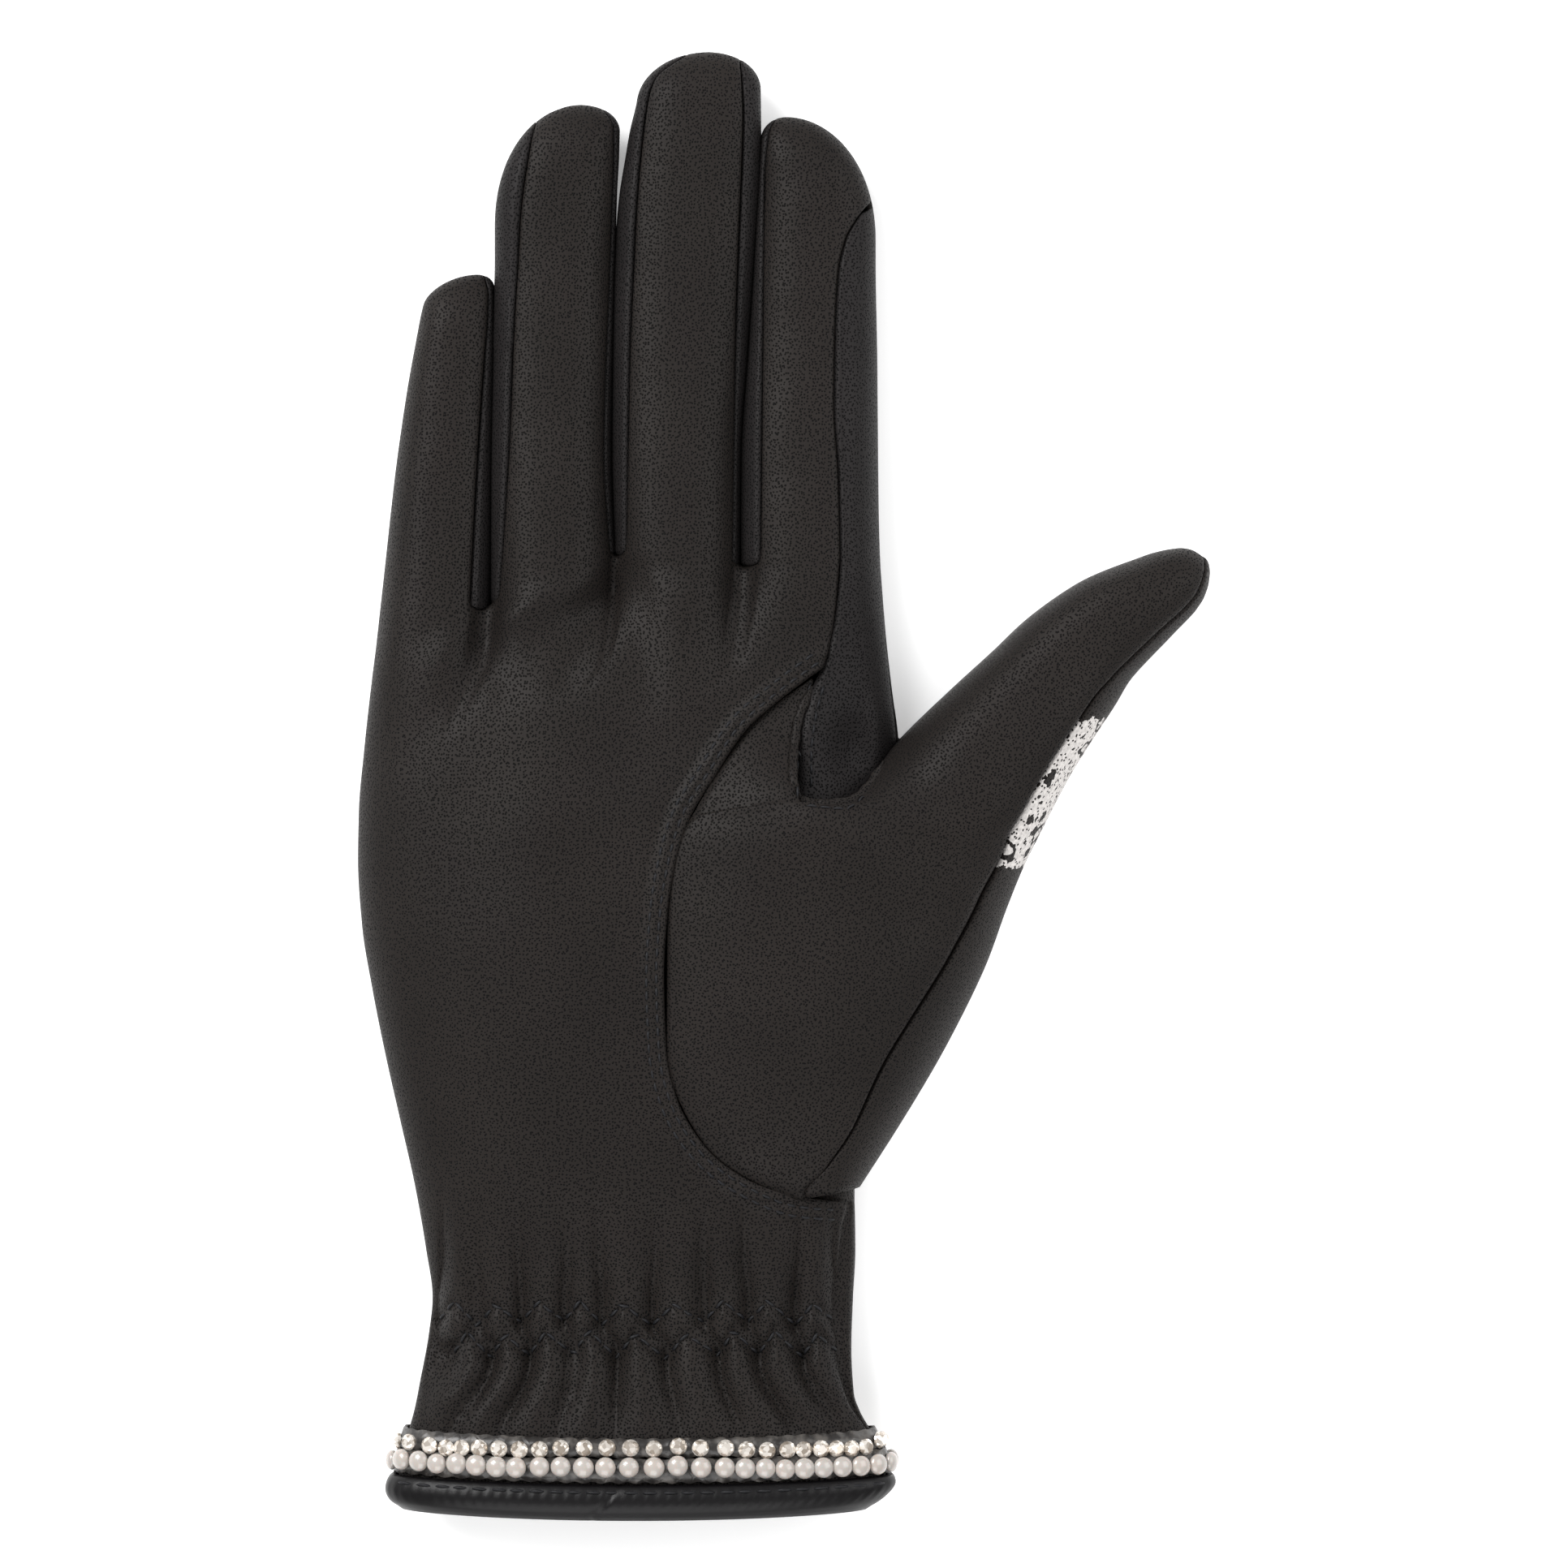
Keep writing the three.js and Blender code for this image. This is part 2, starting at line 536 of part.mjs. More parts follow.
// Outlines between the seams
const thumbFrontArea = [
  ...insetLine, place(farAway, insetLine.at(-1).y), place(farAway, farAway), ...[...besideIndex].reverse(),
  ...[...gussetLine].reverse().slice(0, -1),
];
const thumbOuterArea = [
  place(farAway, farAway), ...thumbLine, insetLine.at(-1), place(farAway, insetLine.at(-1).y),
];
const thumbBackArea = [
  place(thumbBackLine[0].x, farAway), ...thumbBackLine, place(farAway, thumbBackLine.at(-1).y),
  place(farAway, farAway),
];
const wristArea = [...wristLine, place(farAway, 0), place(farAway, wristLine[0].y)];
const indexArea = [
  ...indexLine, ...gussetLine.slice(1), ...besideIndex, place(indexLine[0].x, farAway),
];

// Each fourchette's area is bounded by a seam on either finger
const sideLine = (finger, from, share) => {
  const edge = from === "right" ? finger.left + finger.width : finger.left;
  const inward = from === "right" ? -1 : 1;
  const lean = from === "right" ? finger.tipRight : finger.tipLeft;
  return (height) => {
    const shift = THREE.MathUtils.clamp((height - palmLength) / (leanShare * finger.reach), 0, 1);
    return place(edge + (inward * share + shift * lean) * finger.width, height);
  };
};
const fourchetteAreas = fourchettes.map((row, k) => {
  const [first, second] = [fingers[k], fingers[k + 1]];
  const low = (palmSections.at(-1).up + crotchRise[k + 1].rise) * palmLength - 2 * leather;
  const onFirst = sideLine(first, "right", row.left);
  const onSecond = sideLine(second, "left", row.right);
  const heights = (finger) => [low, palmLength, palmLength + leanShare * finger.reach, farAway];
  return [...heights(first).map(onFirst), ...heights(second).map(onSecond).reverse()];
});

// Cutters over the front, over the back and between the two
const frontPrism = (outline) => prism(outline, seamHeight, skyHigh);
const thumbWrap = prism(thumbFrontArea, -1, skyHigh).intersect(prism(thumbOuterArea, -1, skyHigh));
const wristWrap = prism(wristArea, -1, skyHigh);
const everywhere = [
  place(-farAway, -farAway), place(farAway, -farAway), place(farAway, farAway), place(-farAway, farAway),
];
const backSeam = cut(
  prism(everywhere, seamHeight - 0.5 * seamGap, seamHeight + 0.5 * seamGap), [thumbWrap, wristWrap]);
const closed = (outline) => [...outline, outline[0]];
const frontSeams = [
  insetLine, [...gussetLine, aboveCrotch], thumbLine, wristLine, indexLine, ...fourchetteAreas.map(closed),
].map((line) => ribbon(line, seamHeight, skyHigh));
const backSeams = [[...thumbBackLine, place(farAway, thumbBackLine.at(-1).y)],
  [place(thumbBackLine[0].x, farAway), thumbBackLine[0]]].map((line) => ribbon(line, -1, seamHeight));
const panels = cut(shell, [backSeam, ...frontSeams, ...backSeams]);

// The panels
const back = prism(everywhere, -skyHigh, seamHeight);
const front = prism(everywhere, seamHeight, skyHigh);
const thumbBack = panels.intersect(join([
  prism(thumbBackArea, -skyHigh, seamHeight),
  frontPrism(thumbFrontArea).intersect(frontPrism(thumbOuterArea)),
]));
const thumbPalm = cut(panels.intersect(frontPrism(thumbFrontArea)), [frontPrism(thumbOuterArea)]);
const indexSide = panels.intersect(frontPrism(indexArea));
const fourchetteBodies = fourchetteAreas.map((outline) => panels.intersect(frontPrism(outline)));
const backPanel = cut(
  panels.intersect(join([back, wristWrap.intersect(front)])), [prism(thumbBackArea, -skyHigh, seamHeight)]);
const palmPanel = cut(panels.intersect(front), [
  frontPrism(thumbFrontArea), frontPrism(indexArea), wristWrap, ...fourchetteAreas.map(frontPrism),
]);

/** Point on the cuff's outside at a height, an angle and a distance off the leather. */
function cuffPoint(height, turn, out) {
  const section = palmSection(height);
  const point = sectionPoint(section, turn, out);
  return point.setY(height + bowAt(section, point.x));
}

/** Ring round the cuff with a closed profile of [out, height] points. */
function cuffRing(profile) {
  const rings = turnsOf(PALM_STEPS).map((turn) =>
    profile.map(([out, height]) => {
      const point = cuffPoint(Math.max(height, leatherEdge), turn, out);
      return point.setY(point.y + Math.min(0, height - leatherEdge));
    }));
  const count = profile.length;
  const triangles = rings.flatMap((_, r) => {
    const other = (r + 1) % rings.length;
    return profile.flatMap((_, k) => {
      const next = (k + 1) % count;
      const [a, b, c, d] = [r * count + k, r * count + next, other * count + next, other * count + k];
      return [a, b, c, a, c, d];
    });
  });
  return meshSolid(rings.flat(), triangles);
}

/**
 * Tape round the cuff with its row of stones, all one body. Each stone has its own stretch of tape, as long
 * as the pitch, and a shape from the table above.
 */
function stoneBand({ low, high, pitch, radius, shape }) {
  const fine = Array.from({ length: TRIM_STEPS + 1 }, (_, k) => k / TRIM_STEPS);
  const middle = 0.5 * (low + high);
  const at = (turn, height, out) => cuffPoint(height, turn % 1, out);
  const onTape = fine.map((turn) => at(turn, middle, trimGap + tapeThickness));
  const run = [0];
  onTape.slice(1).forEach((point, k) => run.push(run[k] + point.distanceTo(onTape[k])));
  const count = Math.floor(run.at(-1) / pitch);
  const bounds = Array.from({ length: count }, (_, n) =>
    fine[run.findIndex((length) => length >= (n * run.at(-1)) / count)]);
  const points = [];
  bounds.forEach((turn) => {
    const [inner, outer] = [trimGap, trimGap + tapeThickness];
    points.push(at(turn, low, inner), at(turn, low, outer), at(turn, high, outer), at(turn, high, inner));
  });
  const triangles = [];
  bounds.forEach((_, n) => {
    const [here, next] = [4 * n, 4 * ((n + 1) % count)];
    [[3, 0], [0, 1], [2, 3]].forEach(([a, b]) =>
      triangles.push(here + a, here + b, next + b, here + a, next + b, next + a));
    const corners = [here + 1, next + 1, next + 2, here + 2];
    const centre = corners.reduce((sum, k) => sum.add(points[k]), new THREE.Vector3()).divideScalar(4);
    const across = points[next + 1].clone().sub(points[here + 1]).normalize();
    const up = new THREE.Vector3(0, 1, 0);
    const outward = new THREE.Vector3().crossVectors(up, across).normalize();
    const cornerRing = { turns: [0, 0.25, 0.5, 0.75], start: points.length };
    corners.forEach((k) => points.push(points[k].clone()));
    const stoneRings = shape.rings.map(([wide, tall]) => {
      const turns = Array.from({ length: shape.sides }, (_, k) => k / shape.sides);
      const ring = { turns, start: points.length };
      ring.turns.forEach((turn) => {
        const angle = -0.75 * Math.PI + 2 * Math.PI * turn;
        points.push(centre.clone()
          .addScaledVector(across, wide * radius * Math.cos(angle))
          .addScaledVector(up, wide * radius * Math.sin(angle))
          .addScaledVector(outward, tall * radius));
      });
      return ring;
    });
    const rings = [cornerRing, ...stoneRings];
    stoneRings.forEach((ring, r) => triangles.push(...zip(rings[r], ring)));
    const last = stoneRings.at(-1).start;
    points.push(centre.clone().addScaledVector(outward, shape.top * radius));
    stoneRings.at(-1).turns.forEach((_, k) =>
      triangles.push(last + k, points.length - 1, last + ((k + 1) % shape.sides)));
  });
  return meshSolid(points, triangles);
}

const pearlBand = stoneBand({
  low: pearlTapeLow, high: pearlTapeHigh, pitch: pearlPitch, radius: 0.5 * pearlDiameter, shape: pearlShape,
});
const crystalBand = stoneBand({
  low: crystalTapeLow, high: crystalTapeHigh, pitch: crystalPitch, radius: 0.5 * crystalDiameter,
  shape: crystalShape,
});

// The binding folds over the leather's edge: a round outside, a channel with a clearance round the leather
const channelInside = -leather - seamGap;
const bindingBody = cuffRing([
  [seamGap, bindingSeat], [channelInside, bindingSeat],
  ...bindingInside.map((row) => [channelInside - row.out * bindingWall, row.up * bindingHeight]),
  [-0.5 * leather, 0],
  ...bindingOutside.map((row) => [seamGap + row.out * bindingWall, row.up * bindingHeight]),
]);

// Finishes
const finish = (color, roughness) => new THREE.MeshStandardMaterial({ color, roughness });
const leatherFinish = finish(0x332e2c, 0.55);
const sideFinish = finish(0x3c3938, 0.5);
const satinFinish = finish(0x2c2929, 0.4);
const pearlFinish = finish(0xe6dfd6, 0.25);
const crystalFinish = finish(0xc9c4bd, 0.1);

const glove = new THREE.Group();
const addPiece = (name, body, material) => {
  const mesh = new THREE.Mesh(geometryOf(body), material);
  mesh.name = name;
  glove.add(mesh);
};
addPiece("palm_panel", palmPanel, leatherFinish);
addPiece("back_panel", backPanel, leatherFinish);
addPiece("index_side_panel", indexSide, sideFinish);
fourchettes.forEach((row, k) => addPiece(row.name, fourchetteBodies[k], sideFinish));
addPiece("thumb_palm_panel", thumbPalm, leatherFinish);
addPiece("thumb_back_panel", thumbBack, leatherFinish);
addPiece("cuff_binding", bindingBody, satinFinish);
addPiece("crystal_band", crystalBand, crystalFinish);
addPiece("pearl_band", pearlBand, pearlFinish);

// The origin is on the flat of the back, under the middle of the palm
glove.position.set(0, -restShare * palmLength, 0);

export default glove;
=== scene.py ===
"""Looks of the horse riding glove: sewn leather, stitches, wrist gathers, satin binding and stone trim.

The glove lies on its back with the palm up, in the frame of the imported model: +X to the thumb's side, +Y to
the fingertips, +Z up. Every surface is worked out in millimetres and stored in metres. Places written as
(px, py) are read off the photograph, in its 1932 pixel square, and become millimetres by one scale.
"""

from __future__ import annotations

import logging
import math
from dataclasses import dataclass, field
from enum import Enum

import bpy
import numpy as np
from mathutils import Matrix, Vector
from mathutils.bvhtree import BVHTree

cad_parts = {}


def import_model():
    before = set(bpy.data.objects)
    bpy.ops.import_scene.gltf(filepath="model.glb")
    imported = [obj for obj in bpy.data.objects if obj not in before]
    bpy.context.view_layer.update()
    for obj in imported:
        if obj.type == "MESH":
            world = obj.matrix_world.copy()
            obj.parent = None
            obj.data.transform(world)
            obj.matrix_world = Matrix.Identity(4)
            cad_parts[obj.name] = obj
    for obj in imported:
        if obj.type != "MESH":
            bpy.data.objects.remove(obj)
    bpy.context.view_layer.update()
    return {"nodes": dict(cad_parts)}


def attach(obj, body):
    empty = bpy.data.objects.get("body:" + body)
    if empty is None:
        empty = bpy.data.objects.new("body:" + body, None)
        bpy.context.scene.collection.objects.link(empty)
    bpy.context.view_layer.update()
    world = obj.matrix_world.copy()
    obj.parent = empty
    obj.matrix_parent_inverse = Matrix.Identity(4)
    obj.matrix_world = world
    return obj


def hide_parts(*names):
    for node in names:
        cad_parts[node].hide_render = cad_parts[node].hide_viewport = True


LOG = logging.getLogger("glove")

MM = 0.001
PIXEL = 240.0 / 1801.0  # millimetres in a pixel of the photograph
PHOTO_SIDE = 1932.0
MIDDLE_PX = 780.0
RIM_PY = 1866.0
REST_UP = 114.19  # millimetres from the rim up to the origin
LEATHER = 1.1
SIDE_HEIGHT = 6.4  # of the seam round the back, where front and back leather meet
UP = (0.0, 0.0, 1.0)
DOWN = (0.0, 0.0, -1.0)
LENS_HEIGHT = 6.6  # millimetres above the table where a photograph's pixel is PIXEL wide
LENS_DISTANCE = 1500.0
WELD = 0.02  # millimetres within which sewn points become one
BOXY = 0.72  # exponent of the cosine in a soft section: 1 is an ellipse, less is boxier
SMOOTHING = 24  # passes that even out a panel's height before its grain is laid on
SEAM_ROLL = (0.7, 0.55)  # width and depth in millimetres of an edge that is rolled into a seam
RIM_ROW = 1849.0  # py of the leather's last row, which the binding covers
BOW_FROM, BOW_OVER = 1640, 130  # py where the rim's bow begins, and pixels until it is whole
TIP_POWER = 2.1  # exponent of a fingertip's outline: 2 is an ellipse
TIP_CLOSE = 62.0  # pixels over which a fingertip closes in height
THUMB_CORNER = (851, 1010)  # where the thumb's ball leaves the inset seam
GUSSET_CORNER = (984, 988)  # lower corner of the gusset
CROTCH_CORNER = (1104, 915)  # where the gusset's edge reaches the thumb's outline
COLUMN_GAP = 0.05  # least pixels between two columns where the fingers start
SHARE_GAP = 0.0012  # least share of the body's width between two columns
EDGE_COLUMNS = 9  # columns at each side of the body that are spaced afresh


def across(px: np.ndarray | float) -> np.ndarray:
    """Millimetres along X of a place in the photograph."""
    return (np.asarray(px, float) - MIDDLE_PX) * PIXEL


def upward(py: np.ndarray | float) -> np.ndarray:
    """Millimetres along Y of a place in the photograph."""
    return (RIM_PY - np.asarray(py, float)) * PIXEL - REST_UP


def flow(at: np.ndarray | float, table: tuple[tuple[float, ...], ...], column: int = 1) -> np.ndarray:
    """Smooth curve through a table's rows, with no overshoot.

    Each stretch is a cubic whose end slopes are the harmonic mean of the slopes on either side, or zero
    at a turn.

    Args:
        at: Places on the first column's scale.
        table: Rows sorted by their first column.
        column: The column to read.

    Returns:
        The column's value at each place, held at the ends.
    """
    rows = np.asarray(table, float)
    knots, values = rows[:, 0], rows[:, column]
    step = np.diff(knots)
    slope = np.diff(values) / step
    same = slope[:-1] * slope[1:] > 0
    inner = np.where(same, 2 * slope[:-1] * slope[1:] / np.where(same, slope[:-1] + slope[1:], 1), 0)
    tangent = np.concatenate([slope[:1], inner, slope[-1:]])
    x = np.clip(np.asarray(at, float), knots[0], knots[-1])
    k = np.clip(np.searchsorted(knots, x, side="right") - 1, 0, len(step) - 1)
    t = (x - knots[k]) / step[k]
    start = (1 + 2 * t) * (1 - t) ** 2 * values[k] + t * (1 - t) ** 2 * step[k] * tangent[k]
    end = t**2 * (3 - 2 * t) * values[k + 1] + t**2 * (t - 1) * step[k] * tangent[k + 1]
    return start + end


def ease(t: np.ndarray | float) -> np.ndarray:
    """Smooth step from 0 to 1: t squared times three minus two t, held outside."""
    t = np.clip(t, 0, 1)
    return t * t * (3 - 2 * t)


def points_at(px: np.ndarray, py: np.ndarray, z: np.ndarray) -> np.ndarray:
    """Points in millimetres over places of the photograph, at heights in millimetres."""
    return np.stack(np.broadcast_arrays(across(px), upward(py), z), axis=-1)


def photo_path(places: np.ndarray) -> np.ndarray:
    """Millimetres along X and Y of rows of (px, py)."""
    return np.stack([across(places[:, 0]), upward(places[:, 1])], axis=1)


def nearest(path: np.ndarray, place: tuple[float, float]) -> int:
    """Number of the path's point that is nearest to a place of the photograph."""
    return int(np.argmin(np.hypot(path[:, 0] - across(place[0]), path[:, 1] - upward(place[1]))))


def arc_length(path: np.ndarray) -> np.ndarray:
    """Distance along a path at each of its points."""
    return np.concatenate([[0], np.cumsum(np.linalg.norm(np.diff(path, axis=0), axis=1))])


def along(path: np.ndarray, run: np.ndarray, at: np.ndarray | float) -> np.ndarray:
    """Points of a path at places on its measure `run`."""
    return np.stack([np.interp(at, run, column) for column in path.T], axis=-1)


def turned(places: np.ndarray, angle: float) -> tuple[np.ndarray, np.ndarray]:
    """x and y of places on axes that are turned by an angle in radians."""
    x, y = places[..., 0], places[..., 1]
    return x * math.cos(angle) + y * math.sin(angle), y * math.cos(angle) - x * math.sin(angle)


def turn_of(share: np.ndarray) -> np.ndarray:
    """Turn from the left side (0) over the top to the right side (pi) at a share across, from -1 to 1."""
    share = np.clip(share, -1, 1)
    return np.arccos(-np.sign(share) * np.abs(share) ** (1 / BOXY))


def share_of(turn: np.ndarray) -> np.ndarray:
    """Share across a soft section at a turn: the cosine to the power BOXY, with its sign."""
    return -np.sign(np.cos(turn)) * np.abs(np.cos(turn)) ** BOXY


def smooth_path(places: tuple[tuple[float, float], ...], step: float) -> np.ndarray:
    """Even points on a smooth curve through places: cubic pieces by chord length, then spaced by arc length.

    Args:
        places: Corner places, in any unit.
        step: Wanted spacing in the same unit.

    Returns:
        An (n, 2) array of points.
    """
    corners = np.asarray(places, float)
    length = arc_length(corners)
    fine = np.linspace(0, length[-1], 40 * len(corners))
    curve = np.stack([flow(fine, np.column_stack([length, corners[:, k]])) for k in (0, 1)], axis=1)
    run = arc_length(curve)
    return along(curve, run, np.linspace(0, run[-1], max(2, int(round(run[-1] / step)) + 1)))


def offset_path(path: np.ndarray, distance: float) -> np.ndarray:
    """The path moved to its left by a distance, along the normal of its central differences."""
    heading = np.gradient(path, axis=0)
    heading /= np.linalg.norm(heading, axis=1, keepdims=True) + 1e-12
    return path + distance * np.stack([-heading[:, 1], heading[:, 0]], axis=1)


def distance_to(x: np.ndarray, y: np.ndarray, path: np.ndarray) -> np.ndarray:
    """Shortest distance from each point to the stretches of a path, all stretches at once."""
    start, stretch = path[:-1], np.diff(path, axis=0)
    rx = x[..., None] - start[:, 0]
    ry = y[..., None] - start[:, 1]
    share = np.clip((rx * stretch[:, 0] + ry * stretch[:, 1]) / (np.sum(stretch**2, axis=1) + 1e-12), 0, 1)
    return np.sqrt(np.min((rx - share * stretch[:, 0]) ** 2 + (ry - share * stretch[:, 1]) ** 2, axis=-1))


def ripple(x: np.ndarray, y: np.ndarray, size: float, seed: int) -> np.ndarray:
    """Slow unevenness from -1 to 1: a sum of six plane waves of near length `size` with seeded headings."""
    random = np.random.default_rng(seed)
    total = np.zeros(np.broadcast(x, y).shape)
    for angle, phase, wave in random.uniform(0, 1, (6, 3)):
        pace = 2 * math.pi / (size * (0.7 + 0.6 * wave))
        ahead = x * math.cos(math.pi * angle) + y * math.sin(math.pi * angle)
        total += np.sin(pace * ahead + 6.28 * phase)
    return total / 6


def grid_normals(grid: np.ndarray) -> np.ndarray:
    """Unit normals of a grid: the cross product of its central differences along columns and rows."""
    normal = np.cross(np.gradient(grid, axis=1), np.gradient(grid, axis=0))
    return normal / (np.linalg.norm(normal, axis=-1, keepdims=True) + 1e-12)


def facing(grid: np.ndarray, outward: tuple[float, float, float]) -> float:
    """1 where the grid's normals point outwards on the whole, -1 where they point inwards."""
    return 1.0 if float(np.mean(grid_normals(grid) @ np.array(outward))) > 0 else -1.0


def run_along(grid: np.ndarray, side: str) -> np.ndarray:
    """Distance along the rows or columns of a grid from one of its edges: left, right, first or last."""
    axis = 1 if side in ("left", "right") else 0
    flipped = np.flip(grid, axis) if side in ("right", "last") else grid
    steps = np.linalg.norm(np.diff(flipped, axis=axis), axis=-1)
    run = np.pad(np.cumsum(steps, axis=axis), [(0, 0), (1, 0)] if axis == 1 else [(1, 0), (0, 0)])
    return np.flip(run, axis) if side in ("right", "last") else run


def rolled(
    grid: np.ndarray, sides: dict[str, tuple[float, float]], outward: tuple[float, float, float] = UP,
    keep: np.ndarray | float = 1.0,
) -> np.ndarray:
    """Rolls a panel's edges into the glove, as at a seam sewn inside out.

    Within a seam's width the surface drops by a quarter circle scaled to (width, depth).

    Args:
        grid: Points of the panel.
        sides: For each rolled side its (width, depth) in millimetres.
        outward: A direction that the panel faces.
        keep: Share of the drop that is kept, by row or by point.

    Returns:
        The points with rolled edges.
    """
    drop = np.zeros(grid.shape[:2])
    for side, (width, depth) in sides.items():
        near = 1 - np.clip(run_along(grid, side) / width, 0, 1)
        drop = np.maximum(drop, depth * (1 - np.sqrt(np.clip(1 - near**2, 0, 1))))
    return grid - facing(grid, outward) * (keep * drop)[..., None] * grid_normals(grid)


def flat_places(
    grid: np.ndarray, middle: int | None = None, start: float | None = None, turn: float = 0.0,
) -> np.ndarray:
    """Places of a grid's points on the flat leather that it was cut from, in millimetres.

    Along the panel it is the plain y. Across, it sums the row's steps from a middle column, each the length
    of its x and z, with z averaged over neighbours so that small creases don't shear the grain.

    Args:
        grid: Points of the panel.
        middle: The column that is counted from.
        start: Its place across in the first row, or None for its x.
        turn: Angle of the leather's grain, in radians.

    Returns:
        An array like the grid with two values a point.
    """
    x, y = turned(grid, turn)
    middle = grid.shape[1] // 2 if middle is None else middle
    z = grid[..., 2].copy()
    for _ in range(SMOOTHING):
        padded = np.pad(z, [(1, 1), (0, 0)], "edge")
        z = 0.25 * (2 * z + padded[2:] + padded[:-2])
        inner = 0.25 * (2 * z[:, 1:-1] + z[:, 2:] + z[:, :-2])
        z = np.hstack([z[:, :1], inner, z[:, -1:]])
    dx, dz = np.diff(x, axis=1), np.diff(z, axis=1)
    run = np.pad(np.cumsum(np.sign(dx) * np.hypot(dx, dz), axis=1), [(0, 0), (1, 0)])
    shift = x[:, middle] - x[0, middle] + (x[0, middle] if start is None else start)
    return np.stack([run - run[:, middle:middle + 1] + shift[:, None], y], axis=-1)


def quads(rows: int, columns: int, first: int = 0, closed: bool = False) -> np.ndarray:
    """Four-sided faces of a grid, wound so that columns cross rows.

    Args:
        rows: Rows of the grid.
        columns: Points in a row.
        first: Number of the grid's first point.
        closed: Joins the last column to the first.

    Returns:
        An (n, 4) array of point numbers.
    """
    r, c = np.meshgrid(np.arange(rows - 1), np.arange(columns if closed else columns - 1), indexing="ij")
    n = (c + 1) % columns
    here, there = r * columns, (r + 1) * columns
    return first + np.stack([here + c, here + n, there + n, there + c], axis=-1).reshape(-1, 4)


def ring_faces(rings: int, columns: int) -> np.ndarray:
    """Faces of a closed profile carried round a closed loop: the last ring is joined to the first too."""
    n = np.arange(columns)
    last = (rings - 1) * columns
    close = np.stack([last + n, last + (n + 1) % columns, (n + 1) % columns, n], axis=1)
    return np.concatenate([quads(rings, columns, closed=True), close])


def make_mesh(
    name: str, points: np.ndarray, faces: np.ndarray | list, flip: bool = False,
    flat: np.ndarray | None = None,
) -> bpy.types.Object:
    """A smooth-shaded mesh object at the origin, from millimetre points and faces.

    Args:
        name: Name of the piece.
        points: An (n, 3) array in millimetres.
        faces: Faces as an array, or a list of faces.
        flip: Turn every face round.
        flat: Places on the flat material in millimetres, for a map of the piece's own.

    Returns:
        The linked object.
    """
    rows = [list(map(int, face))[::-1] if flip else list(map(int, face)) for face in faces]
    mesh = bpy.data.meshes.new(name)
    mesh.from_pydata((np.asarray(points) * MM).tolist(), [], rows)
    mesh.polygons.foreach_set("use_smooth", np.ones(len(mesh.polygons), bool))
    if flat is not None:
        corners = np.empty(len(mesh.loops), np.int32)
        mesh.loops.foreach_get("vertex_index", corners)
        layer = mesh.uv_layers.new(name="flat")
        layer.data.foreach_set("uv", (flat[corners] * MM).astype(np.float32).ravel())
    mesh.update()
    made = bpy.data.objects.new(name, mesh)
    bpy.context.scene.collection.objects.link(made)
    return made


def sew_grids(
    name: str, grids: list[np.ndarray], outward: tuple[float, float, float] = UP,
    flats: list[np.ndarray] | None = None, sign: float | None = None,
) -> bpy.types.Object:
    """One mesh from several grids, all facing outwards; points that two grids share become one.

    Args:
        name: Name of the piece.
        grids: Grids of points in millimetres.
        outward: A direction that every grid faces.
        flats: Their places on the flat leather.
        sign: 1 or -1 where the grids' own facing is already known.

    Returns:
        The linked object.
    """
    points = np.concatenate([grid.reshape(-1, 3) for grid in grids])
    flat = np.concatenate([f.reshape(-1, 2) for f in (flats or [flat_places(grid) for grid in grids])])
    starts = np.cumsum([0] + [grid.shape[0] * grid.shape[1] for grid in grids])
    faces = []
    for grid, start in zip(grids, starts):
        made = quads(grid.shape[0], grid.shape[1], start)
        faces.append(made if (sign or facing(grid, outward)) > 0 else made[:, ::-1])
    keys = np.round(points / WELD).astype(np.int64)
    _, first, back = np.unique(keys, axis=0, return_index=True, return_inverse=True)
    corners = [list(dict.fromkeys(face)) for face in back.reshape(-1)[np.concatenate(faces)].tolist()]
    return make_mesh(name, points[first], [face for face in corners if len(face) > 2], flat=flat[first])


def thicken(piece: bpy.types.Object, thickness: float = LEATHER) -> None:
    """Gives a panel its wall, inwards from its face, by a Solidify modifier."""
    wall = piece.modifiers.new("wall", "SOLIDIFY")
    wall.thickness = thickness * MM
    wall.offset = -1
    wall.use_even_offset = False


class Slot(Enum):
    """Names of material slots."""

    LEATHER = "leather"
    SIDE_LEATHER = "side_leather"
    THREAD = "thread"
    FOIL = "foil_print"
    SATIN = "satin"
    TAPE = "tape"
    CRYSTAL = "crystal"
    PEARL = "pearl"


def finish_piece(
    piece: bpy.types.Object, material: bpy.types.Material, slot: Slot, *nodes: str
) -> bpy.types.Object:
    """Dresses a piece, names its slot and the solids that it stands for, and puts it on the glove's body.

    Args:
        Dresses a piece, hides the solids that it stands for, and puts it on the glove's body.
        material: Its material.
        slot: A material slot; not used.
        nodes: Names of the solids that it replaces.

    Returns:
        The piece.
    """
    piece.data.materials.append(material)
    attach(piece, "root")
    if nodes:
        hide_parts(*nodes)
    LOG.info("%s: %d points, %d faces", piece.name, len(piece.data.vertices), len(piece.data.polygons))
    return piece


